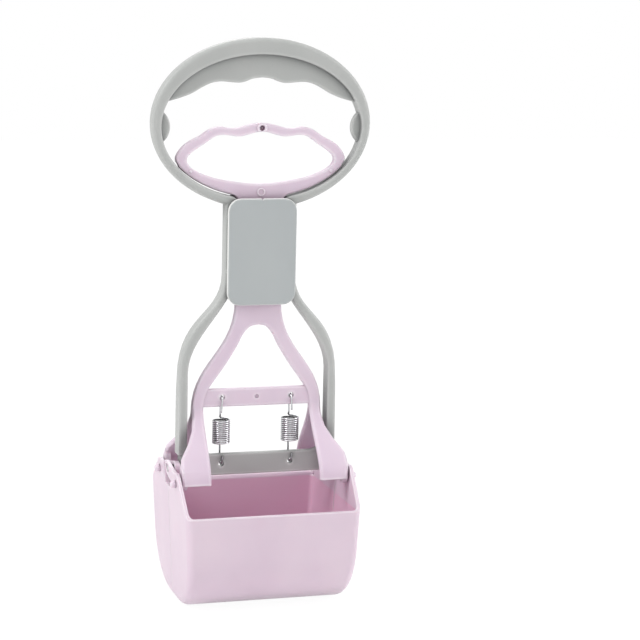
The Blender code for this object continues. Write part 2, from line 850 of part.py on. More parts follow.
def ring_floor(x):
    """Return the height of the finger ring's underside, just above the inside of the grey ring."""
    across = hole_half_width() - FINGER_RING_GAP
    down = hole_height() / 2.0 - FINGER_RING_GAP
    return hole_centre_z() - down * math.sqrt(1.0 - (x / across) ** 2)


def slider_outline():
    """Return the outline of the finger ring, the stem and the two arms, as far as the feet."""
    half_width, top, height = finger_sizes()
    stem = channel_half_width() - SLIDE_GAP
    half = [(half_width * a, top - height * b) for a, b in FINGER_WAVE_SHARES]
    mouth_x = stem + MOUTH_ROUND
    lower = [mouth_x + (half_width - mouth_x) * share for share in FINGER_LOW_SHARES]
    half.append(((lower[0] + half_width) / 2.0, (ring_floor(lower[0]) + half[-1][1]) / 2.0))
    for x in lower:
        half.append((x, ring_floor(x)))
    half.append((mouth_x, ring_floor(mouth_x)))
    half = smooth(half, 3)
    half += mouth_curve(half.pop(), stem)
    arm_top = level(ARM_TOP_SHARE)
    end = pink_bar_z() - ARM_END_DROP
    half += bezier((stem, arm_top), (stem, arm_top - span() * ARM_UPPER_SHARE),
                   (arm_outer_x(), end + span() * ARM_LOWER_SHARE), (arm_outer_x(), end), CURVE_STEPS)
    rise = level(FORK_APEX_SHARE) - pink_bar_z()
    arch = smooth([(arm_inner_x() * a, pink_bar_z() + rise * b) for a, b in FORK_ARCH_SHARES], 3)
    half.append((arm_inner_x(), end))
    half += list(reversed(arch))
    return mirrored(half)


def finger_hole():
    """Return the outline of the opening in the finger ring."""
    outer_half, outer_top, outer_height = finger_sizes()
    half_width = outer_half - FINGER_SIDE_BAND
    top = outer_top - FINGER_BAND
    height = outer_height - FINGER_BAND * 2.0
    half = [(half_width * a, top - height * b) for a, b in FINGER_HOLE_SHARES]
    half.append((0.0, top - height))
    return mirrored(smooth(half, 3))


def foot_curve():
    """Return the front surface of a foot in the YZ plane, from the arm to the bottom."""
    start = half_slider() - FOOT_SKIN
    front = HINGE_Y + FOOT_REACH
    top = pink_bar_z() + FOOT_OVERLAP
    end = hinge_z() - FOOT_END_DROP
    return bezier((-start, top), (-start, top - FOOT_UPPER_HANDLE),
                  (-front, end + FOOT_LOWER_HANDLE), (-front, end), FOOT_STEPS)


def share_at(table, place):
    """Return a value read between the rows of a table of shares."""
    for (a, low), (b, high) in zip(table, table[1:]):
        if place <= b:
            t = (place - a) / (b - a)
            t = t * t * (3.0 - 2.0 * t)
            return low + (high - low) * t
    return table[-1][1]


def lug_outer_x():
    """Return the outer face of a foot's hinge lug, clear of the jaw's ear."""
    return jaw_half_width(hinge_z() - LUG_RADIUS) - JAW_WALL - EAR_GAP


def foot(side, facing):
    """Return one foot of the slider, a curved plate that widens downwards."""
    curve = foot_curve()
    rings = []
    for index, (y, z) in enumerate(curve):
        before = Vector(curve[max(index - 1, 0)])
        after = Vector(curve[min(index + 1, len(curve) - 1)])
        along = (after - before).normalized()
        inwards = Vector((-along.y, along.x))
        place = index / (len(curve) - 1)
        inner = arm_inner_x() + (ARM_WIDTH - FOOT_INSET) * place + FOOT_SKIN
        spread = (lug_outer_x() - arm_outer_x()) * share_at(FOOT_SPREAD_SHARES, place)
        outer = arm_outer_x() + spread - FOOT_SKIN
        near = Vector((y, z))
        far = near + inwards * FOOT_THICKNESS
        step = inwards * EDGE_ROUND
        corners = ((inner, near + step), (inner + EDGE_ROUND, near), (outer - EDGE_ROUND, near),
                   (outer, near + step), (outer, far - step), (outer - EDGE_ROUND, far),
                   (inner + EDGE_ROUND, far), (inner, far - step))
        rings.append([(side * x, facing * point.x, point.y) for x, point in corners])
    return loft(rings)


def hinge_lug(side, facing):
    """Return the side flange of a foot that holds its hinge pin."""
    hinge = hinge_z()
    front = -HINGE_Y - FOOT_REACH + FOOT_THICKNESS / 2.0
    points = [(front, hinge + LUG_HEIGHT - LUG_SLOPE), (front, hinge - FOOT_END_DROP + FINE_ROUND)]
    for index in range(END_STEPS + 1):
        angle = math.pi * (index / END_STEPS * LUG_TURN_SHARE - LUG_START_SHARE)
        points.append((-HINGE_Y + LUG_RADIUS * math.cos(angle), hinge + LUG_RADIUS * math.sin(angle)))
    points.append((-HINGE_Y + FINE_ROUND, hinge + LUG_HEIGHT))
    outline = [(facing * y, z) for y, z in points]
    low, high = sorted((side * lug_outer_x(), side * (lug_outer_x() - LUG_THICKNESS)))
    return side_plate(outline, low, high)


def marks():
    """Return the small raised marks on the front of the slider."""
    depth = half_slider()
    half_width, top, height = finger_sizes()
    shapes = [cylinder(STEM_MARK_RADIUS, (0.0, -depth - MARK_RISE, hole_bottom_z() + STEM_MARK_RISE),
                       (0.0, 0.0, hole_bottom_z() + STEM_MARK_RISE))]
    z = top - height * (1.0 - SIDE_MARK_Z_SHARE)
    for side in (-1.0, 1.0):
        x = side * half_width * SIDE_MARK_X_SHARE
        shapes.append(cylinder(SIDE_MARK_RADIUS, (x, -depth - MARK_RISE, z), (x, 0.0, z),
                               SMALL_ROUND_STEPS))
    return shapes


def pink_bar():
    """Return the upper spring bar between the two arms."""
    half_width = arm_outer_x() - ARM_WIDTH / 2.0
    outline = [(-half_width, pink_bar_z()), (half_width, pink_bar_z()),
               (half_width, pink_bar_z() + PINK_BAR_HEIGHT), (-half_width, pink_bar_z() + PINK_BAR_HEIGHT)]
    depth = BAR_DEPTH / 2.0
    bm = plate(outline, -depth, depth)
    round_edges(bm, FINE_ROUND, 1, lambda e: abs(e.verts[0].co.x - e.verts[1].co.x) > half_width)
    return bm


def make_slider():
    """Make the pink trigger slider."""
    depth = half_slider()
    bm = plate(slider_outline(), -depth, depth)
    soften_plate(bm, -depth, depth, EDGE_ROUND, 2)
    item = new_object("trigger_slider", bm, PINK_PLASTIC)
    hole_z = finger_sizes()[1] - CORD_HOLE_DROP
    rise = depth + CORD_BOSS_RISE
    boss = cylinder(CORD_BOSS_RADIUS, (0.0, -rise, hole_z), (0.0, rise, hole_z))
    shapes = [pink_bar(), boss] + marks()
    for side in (-1.0, 1.0):
        for facing in (1.0, -1.0):
            shapes += [foot(side, facing), hinge_lug(side, facing)]
    add(item, merged(shapes), True)
    holes = [plate(finger_hole(), -depth - CUT_OVERRUN, depth + CUT_OVERRUN),
             cylinder(CORD_HOLE_RADIUS, (0.0, -rise - CUT_OVERRUN, hole_z),
                      (0.0, depth - CORD_HOLE_FLOOR, hole_z))]
    stem_mark_z = hole_bottom_z() + STEM_MARK_RISE
    holes.append(cylinder(STEM_MARK_HOLLOW, (0.0, -depth - MARK_RISE - CUT_OVERRUN, stem_mark_z),
                          (0.0, -depth - MARK_RISE / 4.0, stem_mark_z)))
    mark_z = pink_bar_z() + PINK_HOLE_RISE
    bar_front = -BAR_DEPTH / 2.0
    holes.append(cylinder(BAR_MARK_RADIUS, (0.0, bar_front - CUT_OVERRUN, mark_z),
                          (0.0, bar_front * BAR_MARK_DEPTH_SHARE, mark_z)))
    for side in (-1.0, 1.0):
        holes.append(hole_through(side * spring_x(), mark_z, HOOK_HOLE_RADIUS, -depth, depth))
        outer = side * (lug_outer_x() + CUT_OVERRUN)
        inner = side * (lug_outer_x() - LUG_THICKNESS - CUT_OVERRUN)
        for facing in (-1.0, 1.0):
            y = facing * HINGE_Y
            holes.append(cylinder(PIN_RADIUS + SCREW_GAP, (inner, y, hinge_z()), (outer, y, hinge_z())))
    cut(item, merged(holes))
    tidy(item, MERGE_LIMIT)
    return item


def jaw_half_width(z):
    """Return the outer half width of the jaws at a height."""
    return JAW_RIM_HALF_WIDTH + JAW_DRAFT * (z - RIM_Z)


def belly_outline():
    """Return the outer outline of the front jaw in the YZ plane, from its rim to the middle."""
    base = JAW_HALF_DEPTH * BASE_SHARE
    span_y = JAW_HALF_DEPTH - base
    curve_top = RIM_Z * CURVE_TOP_SHARE
    points = [(-JAW_HALF_DEPTH, RIM_Z), (-JAW_HALF_DEPTH, curve_top)]
    for index in range(1, JAW_STEPS):
        angle = math.pi / 2.0 * index / JAW_STEPS
        points.append((-base - span_y * math.cos(angle) ** (2.0 / BELLY_POWER),
                       curve_top * (1.0 - math.sin(angle) ** (2.0 / BELLY_POWER))))
    points.append((-base, 0.0))
    points.append((-JAW_GAP / 2.0, 0.0))
    return points


def tongue_frame():
    """Return the hinge and the directions along and across the tongues of the front jaw."""
    angle = math.atan2(DRIVE_RISE, HINGE_Y)
    along = Vector((math.cos(angle), math.sin(angle)))
    across = Vector((-along.y, along.x))
    return Vector((-HINGE_Y, hinge_z())), along, across


def tongue_outline(start, end, half_width):
    """Return a tongue with a round end, from start to end as measured from the front hinge."""
    hinge, along, across = tongue_frame()
    points = [hinge + along * start - across * half_width]
    for index in range(END_STEPS + 1):
        turn = math.pi * (index / END_STEPS - 0.5)
        points.append(hinge + along * (end + half_width * math.cos(turn))
                      + across * (half_width * math.sin(turn)))
    points.append(hinge + along * start + across * half_width)
    return [tuple(p) for p in points]


def slot_outline(start, end, half_width):
    """Return a slot with two round ends, along the tongue of the front jaw."""
    hinge, along, across = tongue_frame()
    points = []
    for centre, first in ((end, -0.5), (start, 0.5)):
        for index in range(END_STEPS + 1):
            turn = math.pi * (first + index / END_STEPS)
            points.append(hinge + along * (centre + half_width * math.cos(turn))
                          + across * (half_width * math.sin(turn)))
    return [tuple(p) for p in points]


def slot_ends():
    """Return the nearest and the furthest the drive pin comes to a hinge."""
    return HINGE_Y, math.hypot(HINGE_Y, SLIDE_TRAVEL - DRIVE_RISE)


def jaw_top_z():
    """Return a height above everything on the jaws."""
    return hinge_z() + EAR_RADIUS + ROOT_REACH


def rim_end(lip):
    """Return where the rim of a jaw starts at its far wall, raised by a lip, in the YZ plane."""
    return Vector((-JAW_HALF_DEPTH + JAW_WALL - lip * LIP_SLOPE_SHARE, RIM_Z + lip))


def waste_outline(lip):
    """Return what is cut off a front jaw above its rim, ears and tongue roots."""
    hinge, along, across = tongue_frame()
    root = hinge + along * ROOT_REACH
    half_width = TONGUE_HALF_WIDTH + TONGUE_SKIN
    low = root - across * half_width
    high = root + across * half_width
    middle = hinge_z() - WALL_MID_DROP
    corner = rim_end(lip)
    points = [(CUT_OVERRUN, middle), (low.x + (low.y - middle) * WALL_MID_SHARE, middle), tuple(low),
              tuple(high)]
    away = corner - hinge
    tangent = math.atan2(away.y, away.x) - math.acos(EAR_RADIUS / away.length) + 2.0 * math.pi
    start = math.atan2(along.y, along.x) + math.acos(TONGUE_HALF_WIDTH / EAR_RADIUS)
    for index in range(END_STEPS + 1):
        turn = start + (tangent - start) * index / END_STEPS
        points.append((hinge.x + EAR_RADIUS * math.cos(turn), hinge.y + EAR_RADIUS * math.sin(turn)))
    points.append(tuple(corner))
    points.append((-JAW_HALF_DEPTH - CUT_OVERRUN, corner.y))
    points.append((-JAW_HALF_DEPTH - CUT_OVERRUN, jaw_top_z() + CUT_OVERRUN))
    points.append((CUT_OVERRUN, jaw_top_z() + CUT_OVERRUN))
    return points


def lip_slope(lip):
    """Return what is cut off the inside of a raised rim, between the side walls."""
    foot_y = -JAW_HALF_DEPTH + JAW_WALL + MERGE_LIMIT
    corner = rim_end(lip)
    top = corner.y + JAW_WALL
    outline = [(foot_y, RIM_Z), (foot_y + CUT_OVERRUN, RIM_Z), (foot_y + CUT_OVERRUN, top),
               (corner.x, top), tuple(corner)]
    reach = JAW_RIM_HALF_WIDTH - JAW_WALL / 2.0
    return side_plate(outline, -reach, reach)


def drafted(bm):
    """Lean the sides of a jaw shape outwards with the height."""
    for vert in bm.verts:
        side = 1.0 if vert.co.x > 0.0 else -1.0
        inset = JAW_RIM_HALF_WIDTH - abs(vert.co.x)
        vert.co.x = side * (jaw_half_width(vert.co.z) - inset)
    return bm


def tub(path, middle_y, half_width, radius):
    """Return a tub-shaped block under a path, its lower and front edges rounded."""
    top = jaw_top_z()
    outline = [(path[0][0], top)] + path[1:-1] + [(middle_y, path[-1][1]), (middle_y, top)]
    bm = side_plate(outline, -half_width, half_width)
    slack = JAW_GAP / 4.0
    chain = [Vector(p) for p in outline[:-1]]

    def on_chain(edge):
        if abs(edge.verts[0].co.x - edge.verts[1].co.x) > slack:
            return False
        ends = [Vector((v.co.y, v.co.z)) for v in edge.verts]
        return all(any((end - p).length < slack for p in chain) for end in ends)

    round_edges(bm, radius, JAW_EDGE_STEPS, on_chain)
    return drafted(bm)


def offset_path(points, distance):
    """Return an open path moved to its left side by a distance."""
    moved = []
    last = len(points) - 1
    for index, point in enumerate(points):
        before = Vector(points[max(index - 1, 0)])
        after = Vector(points[min(index + 1, last)])
        here = Vector(point)
        sides = []
        if index > 0:
            sides.append((here - before).normalized())
        if index < last:
            sides.append((after - here).normalized())
        along = sum(sides, Vector((0.0, 0.0))).normalized()
        leftwards = Vector((-along.y, along.x))
        stretch = 1.0 / max(0.5, along.dot(sides[0]))
        moved.append(tuple(here + leftwards * (distance * stretch)))
    return moved


def jaw(name, turn, lip):
    """Make one jaw: a half bucket with two ears, an outer and an inner slotted tongue."""
    rim = JAW_RIM_HALF_WIDTH
    outside = belly_outline()
    inside = offset_path(outside, JAW_WALL)
    item = new_object(name, tub(outside, -JAW_GAP / 2.0, rim, JAW_EDGE_RADIUS), PINK_PLASTIC)
    cut(item, tub(inside, CUT_OVERRUN, rim - JAW_WALL, JAW_EDGE_RADIUS - JAW_WALL))
    reach = rim + JAW_WALL + CUT_OVERRUN
    cut(item, side_plate(waste_outline(lip), -reach, reach))
    if lip > 0.0:
        cut(item, lip_slope(lip))
    near, far = slot_ends()
    end = far + PIN_RADIUS + SLOT_SIDE_GAP + TONGUE_END_WALL - TONGUE_HALF_WIDTH
    outline = tongue_outline(ROOT_REACH / 2.0, end, TONGUE_HALF_WIDTH)
    add(item, drafted(side_plate(outline, -rim + TONGUE_SKIN, -rim + JAW_WALL - TONGUE_SKIN)))
    root = EAR_RADIUS + SLIDE_GAP * 2.0
    face = lug_outer_x()
    add(item, side_plate(tongue_outline(root, end, TONGUE_HALF_WIDTH), face - LUG_THICKNESS, face))
    bridge = tongue_outline(root, ROOT_REACH - TONGUE_HALF_WIDTH, TONGUE_HALF_WIDTH - TONGUE_SKIN)
    add(item, side_plate(bridge, face - TONGUE_SKIN, jaw_half_width(hinge_z()) - JAW_WALL / 2.0))
    start = leg_inner_x()
    slot = slot_outline(near, far, PIN_RADIUS + SLOT_SIDE_GAP)
    holes = [side_plate(slot, -reach, -start), side_plate(slot, start, reach)]
    for side in (-1.0, 1.0):
        holes.append(cylinder(PIN_RADIUS + PIN_GAP, (side * start, -HINGE_Y, hinge_z()),
                              (side * reach, -HINGE_Y, hinge_z())))
    cut(item, merged(holes))
    item.data.transform(Matrix.Rotation(turn, 4, "Z"))
    tidy(item, MERGE_LIMIT)
    return item


def headed_pin(name, side, y, start, end):
    """Make a hinge pin along X with a round head at its outer end."""
    profile = [(start, PIN_RADIUS), (end, PIN_RADIUS)]
    for index in range(PIN_HEAD_STEPS):
        turn = index / PIN_HEAD_STEPS * math.pi / 2.0
        profile.append((end + PIN_HEAD_LENGTH * math.sin(turn),
                        PIN_HEAD_RADIUS * math.cos(turn) ** PIN_HEAD_POWER))
    new_object(name, turned(profile, (0.0, y, hinge_z()), (side, 0.0, 0.0)), PINK_PLASTIC)


def make_pins():
    """Make the four hinge pins and the two drive pins."""
    start = lug_outer_x() - LUG_THICKNESS - SEAT_GAP
    end = jaw_half_width(hinge_z() + PIN_HEAD_RADIUS) + PIN_HEAD_GAP
    for side, side_name in ((-1.0, "left"), (1.0, "right")):
        for facing, face_name in ((-1.0, "front"), (1.0, "rear")):
            name = "hinge_pin_%s_%s" % (face_name, side_name)
            headed_pin(name, side, facing * HINGE_Y, start, end)
        low = side * (leg_inner_x() + SEAT_GAP)
        high = side * (jaw_half_width(drive_z()) - SEAT_GAP)
        bm = cylinder(PIN_RADIUS, (low, 0.0, drive_z()), (high, 0.0, drive_z()), PIN_STEPS)
        new_object("drive_pin_%s" % side_name, bm, GREY_PLASTIC)


def spring_points():
    """Return the centre line of one spring: lower hook, coil and upper hook, in one piece."""
    low_hole = grey_bar_z() + GREY_HOLE_RISE
    high_hole = pink_bar_z() + PINK_HOLE_RISE
    stand = BAR_DEPTH / 2.0 + WIRE_RADIUS + HOOK_GAP
    coil_bottom = low_hole + (high_hole - low_hole) * COIL_RISE_SHARE
    coil_top = coil_bottom + COIL_PITCH * COIL_TURNS
    near = stand * HOOK_NEAR_SHARE
    lead = COIL_RADIUS * LEAD_SHARE
    lead_rise = COIL_PITCH * LEAD_TURNS_SHARE
    lower = [(0.0, -stand, low_hole + LOWER_HOOK_RISE), (0.0, -stand, low_hole + LOWER_HOOK_RISE / 2.0),
             (0.0, -near, low_hole + WIRE_RADIUS), (0.0, 0.0, low_hole - WIRE_RADIUS),
             (0.0, near, low_hole + WIRE_RADIUS), (0.0, stand, low_hole + LOWER_HOOK_RISE / 2.0),
             (0.0, stand, coil_bottom - COIL_PITCH * 2.0), (0.0, lead, coil_bottom - lead_rise)]
    coil = []
    for index in range(COIL_TURNS * COIL_POINTS + 1):
        angle = math.pi / 2.0 + 2.0 * math.pi * index / COIL_POINTS
        coil.append((COIL_RADIUS * math.cos(angle), COIL_RADIUS * math.sin(angle),
                     coil_bottom + COIL_PITCH * index / COIL_POINTS))
    upper = [(0.0, lead, coil_top + lead_rise), (0.0, stand, coil_top + COIL_PITCH * 2.0),
             (0.0, stand, high_hole - UPPER_HOOK_DROP / 2.0),
             (0.0, near, high_hole - WIRE_RADIUS), (0.0, 0.0, high_hole + WIRE_RADIUS),
             (0.0, -near, high_hole - WIRE_RADIUS), (0.0, -stand, high_hole - UPPER_HOOK_DROP / 2.0),
             (0.0, -stand, high_hole - UPPER_HOOK_DROP)]
    return smooth(lower, 3) + coil[1:-1] + smooth(upper, 3)


def least_gap(points):
    """Return the least gap of a wire to itself, measured on points over a turn apart along it."""
    least = math.inf
    apart = COIL_POINTS // 2
    for index, point in enumerate(points):
        for other in points[index + apart:]:
            distance = (Vector(point) - Vector(other)).length
            least = min(least, distance)
    return least - WIRE_RADIUS * 2.0


def make_spring(name, x):
    """Make one extension spring as a single wound tube."""
    points = spring_points()
    curve = bpy.data.curves.new(name, "CURVE")
    curve.dimensions = "3D"
    curve.bevel_depth = WIRE_RADIUS
    curve.bevel_resolution = 1
    curve.use_fill_caps = True
    spline = curve.splines.new("POLY")
    spline.points.add(len(points) - 1)
    for place, point in zip(spline.points, points):
        place.co = (point[0], point[1], point[2], 1.0)
    curve.materials.append(SPRING_STEEL.material())
    item = bpy.data.objects.new(name, curve)
    item.location.x = x
    bpy.context.scene.collection.objects.link(item)
    print("least gap of the wire to itself, mm:", round(least_gap(points) * 1000.0, 3))


def main():
    """Build the whole scooper."""
    clear_scene()
    make_frame()
    make_cover()
    make_screws()
    make_slider()
    jaw("front_jaw", 0.0, 0.0)
    jaw("rear_jaw", math.pi, REAR_LIP_RISE)
    make_pins()
    make_spring("left_spring", -spring_x())
    make_spring("right_spring", spring_x())


main()
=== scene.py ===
"""Looks of a spring-loaded pooper scooper, dressed around its plain solids.

A grey frame holds a pink trigger slider, two steel springs pull the slider down, and the slider
opens two pink half-bucket jaws. The solids of the frame, cover, slider, jaws and pins stay and get
rounded edges and moulded plastic, which has painted highlights along its outer edges and painted
shade in its corners, gaps and the bucket's inside. The wound springs, with painted shade between
their windings and on their hooks, the cover screws and the two small corners of the rear jaw's
raised rim are modelled here.

Sizes are in metres and angles in degrees. X is across, Y runs from front to rear and Z is up.
"""

import logging
import math
from dataclasses import dataclass
from enum import Enum
from typing import Callable, Iterable

import bmesh
import bpy
from mathutils import Matrix, Vector

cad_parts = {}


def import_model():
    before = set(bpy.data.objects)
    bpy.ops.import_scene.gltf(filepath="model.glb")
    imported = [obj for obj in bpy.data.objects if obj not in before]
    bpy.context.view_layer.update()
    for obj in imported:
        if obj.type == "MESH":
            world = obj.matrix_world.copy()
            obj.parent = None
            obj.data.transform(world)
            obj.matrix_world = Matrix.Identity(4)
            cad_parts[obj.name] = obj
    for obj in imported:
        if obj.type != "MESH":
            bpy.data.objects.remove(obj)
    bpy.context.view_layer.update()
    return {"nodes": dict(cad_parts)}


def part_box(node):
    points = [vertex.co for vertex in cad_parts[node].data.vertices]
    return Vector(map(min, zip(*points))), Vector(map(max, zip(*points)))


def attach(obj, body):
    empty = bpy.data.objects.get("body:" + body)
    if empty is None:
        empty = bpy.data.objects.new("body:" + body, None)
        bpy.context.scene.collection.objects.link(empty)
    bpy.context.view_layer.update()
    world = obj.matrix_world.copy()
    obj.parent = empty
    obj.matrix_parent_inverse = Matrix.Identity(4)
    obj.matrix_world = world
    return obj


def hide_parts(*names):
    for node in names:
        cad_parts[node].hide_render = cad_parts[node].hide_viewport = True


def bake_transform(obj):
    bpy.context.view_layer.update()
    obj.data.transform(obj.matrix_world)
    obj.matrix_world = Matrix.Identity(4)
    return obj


LOG = logging.getLogger("scooper")

# From a colour as a screen shows it to linear light
SRGB_KNEE = 0.04045
SRGB_SLOPE = 12.92
SRGB_OFFSET = 0.055
SRGB_GAMMA = 2.4
FULL_BYTE = 255.0

# Sockets of a Mix node that is set to colours, and of a Mix Shader node
MIX_FIRST = 6
MIX_SECOND = 7
MIX_RESULT = 2
SHADER_FIRST = 1
SHADER_SECOND = 2
NODE_STEP = 200.0

# Angle between two faces up to which a modelled piece is shaded as one curve
SMOOTH_ANGLE = 35.0

FULL_TURN = 2.0 * math.pi
QUARTER_TURN = math.pi / 2.0

Pair = tuple[float, float]
Triple = tuple[float, float, float]
Colour = Triple
Chooser = Callable[[Vector], bool]
Socket = bpy.types.NodeSocket

WHITE: Colour = (255, 255, 255)
FROM_ZERO_TO_ONE: Pair = (0.0, 1.0)
FROM_ONE_TO_ZERO: Pair = (1.0, 0.0)


def linear(colour: Colour) -> tuple[float, float, float, float]:
    """Turn a colour from 0 to 255 into linear light.

    Args:
        colour: Red, green and blue as a screen shows them.

    Returns:
        Linear red, green, blue and full opacity.
    """
    values = []
    for channel in colour:
        share = channel / FULL_BYTE
        if share <= SRGB_KNEE:
            values.append(share / SRGB_SLOPE)
        else:
            values.append(((share + SRGB_OFFSET) / (1.0 + SRGB_OFFSET)) ** SRGB_GAMMA)
    return (values[0], values[1], values[2], 1.0)


class Body(Enum):
    """The moving bodies on which modelled pieces ride."""

    FRAME = "frame"
    SLIDER = "slider"
    JAW_REAR = "jaw_rear"


class Slot(Enum):
    """Names for material slots, which no piece is given here."""

    PINK = "pink_plastic"
    SPRING = "spring_steel"
    SCREW = "screw_steel"


class Element(Enum):
    """What is selected in edit mode."""

    EDGE = "EDGE"
    FACE = "FACE"


@dataclass(frozen=True)
class Noise:
    """A pattern of noise on a piece's own coordinates.

    The scale is the number of features to a metre, the detail is the number of finer layers, and
    rough is the share that each finer layer has of the one before.
    """

    scale: float
    detail: float
    rough: float
    stretch: Triple = (1.0, 1.0, 1.0)


@dataclass(frozen=True)
class Relief:
    """A low relief: the share of it that shows, and its full height."""

    strength: float
    depth: float


@dataclass(frozen=True)
class PaintedLight:
    """Painted light: a highlight painted along outer edges, or shade painted in corners and gaps.

    Each place on the surface has a value from 0 at the edge or corner to 1 away from it, which is
    looked for within the reach. The painted colour has its whole share at the low end of the fade,
    and none at the high end.
    """

    colour: Colour
    fade: Pair
    share: float
    reach: float = 0.0


class NodeTree:
    """A small helper that adds shader nodes from left to right and links them."""

    def __init__(self, owner: bpy.types.Material | bpy.types.World) -> None:
        """Start with no nodes.

        Args:
            owner: The material or world that the nodes belong to.
        """
        owner.use_nodes = True
        self.tree = owner.node_tree
        self.tree.nodes.clear()
        self.column = 0

    def add(self, kind: str, label: str) -> bpy.types.Node:
        """Add a node.

        Args:
            kind: Blender's type of the node.
            label: What the node does here.

        Returns:
            The new node.
        """
        node = self.tree.nodes.new(kind)
        node.label = label
        node.location = (self.column * NODE_STEP, 0.0)
        self.column += 1
        return node

    def link(self, output: Socket, node: bpy.types.Node, socket: str | int) -> None:
        """Link an output to an input of a node."""
        self.tree.links.new(output, node.inputs[socket])

    def noise(self, label: str, pattern: Noise) -> Socket:
        """Add noise on the piece's own coordinates.

        Args:
            label: What the noise stands for.
            pattern: How fine the noise is and how it is stretched.

        Returns:
            The output with the noise from 0 to 1.
        """
        place = self.add("ShaderNodeTexCoord", "place on the piece")
        turn = self.add("ShaderNodeMapping", label + " direction")
        turn.inputs["Scale"].default_value = pattern.stretch
        noise = self.add("ShaderNodeTexNoise", label)
        noise.inputs["Scale"].default_value = pattern.scale
        noise.inputs["Detail"].default_value = pattern.detail
        noise.inputs["Roughness"].default_value = pattern.rough
        self.link(place.outputs["Object"], turn, "Vector")
        self.link(turn.outputs["Vector"], noise, "Vector")
        return noise.outputs["Fac"]

    def ramp(self, label: str, value: Socket, places: tuple[float, ...],
             colours: tuple[Colour, ...]) -> Socket:
        """Turn a value into a colour.

        Args:
            label: What the ramp sets.
            value: Output with the value.
            places: Values at which the ramp has its colours, from low to high.
            colours: The colours at those values.

        Returns:
            The output with the colour.
        """
        ramp = self.add("ShaderNodeValToRGB", label)
        elements = ramp.color_ramp.elements
        while len(elements) < len(places):
            elements.new(1.0)
        for element, place, colour in zip(elements, places, colours):
            element.position = place
            element.color = linear(colour)
        self.link(value, ramp, "Fac")
        return ramp.outputs["Color"]

    def span(self, label: str, value: Socket, start: Pair, end: Pair) -> Socket:
        """Map a range of values onto another range.

        Args:
            label: What the new range sets.
            value: Output with the value.
            start: The range of the value.
            end: What that range becomes.

        Returns:
            The output with the new value.
        """
        node = self.add("ShaderNodeMapRange", label)
        node.inputs["From Min"].default_value, node.inputs["From Max"].default_value = start
        node.inputs["To Min"].default_value, node.inputs["To Max"].default_value = end
        self.link(value, node, "Value")
        return node.outputs["Result"]

    def mix(self, label: str, share: Socket, first: Socket | Colour, second: Socket | Colour) -> Socket:
        """Mix two colours.

        Args:
            label: What the mix gives.
            share: Output with the share of the second colour.
            first: The colour at share 0, or the output that gives it.
            second: The colour at share 1, or the output that gives it.

        Returns:
            The output with the mixed colour.
        """
        node = self.add("ShaderNodeMix", label)
        node.data_type = "RGBA"
        self.link(share, node, "Factor")
        for socket, colour in ((MIX_FIRST, first), (MIX_SECOND, second)):
            if isinstance(colour, Socket):
                self.link(colour, node, socket)
            else:
                node.inputs[socket].default_value = linear(colour)
        return node.outputs[MIX_RESULT]

    def mix_shaders(self, label: str, share: Socket, first: Socket, second: Socket) -> Socket:
        """Mix two shaders.

        Args:
            label: What the mix gives.
            share: Output with the share of the second shader.
            first: Output of the shader at share 0.
            second: Output of the shader at share 1.

        Returns:
            The output with the mixed shader.
        """
        node = self.add("ShaderNodeMixShader", label)
        self.link(share, node, "Fac")
        self.link(first, node, SHADER_FIRST)
        self.link(second, node, SHADER_SECOND)
        return node.outputs["Shader"]

    def bump(self, label: str, height: Socket, relief: Relief, below: Socket | None = None) -> Socket:
        """Add a low relief.

        Args:
            label: What the relief stands for.
            height: Output with the height from 0 to 1.
            relief: Strength and height of the relief.
            below: Output with the normal of the surface that the relief lies on.

        Returns:
            The output with the new normal.
        """
        node = self.add("ShaderNodeBump", label)
        node.inputs["Strength"].default_value = relief.strength
        node.inputs["Distance"].default_value = relief.depth
        self.link(height, node, "Height")
        if below is not None:
            self.link(below, node, "Normal")
        return node.outputs["Normal"]

    def finish(self, shader: Socket) -> None:
        """Make a shader the material's surface."""
        self.link(shader, self.add("ShaderNodeOutputMaterial", "surface"), "Surface")


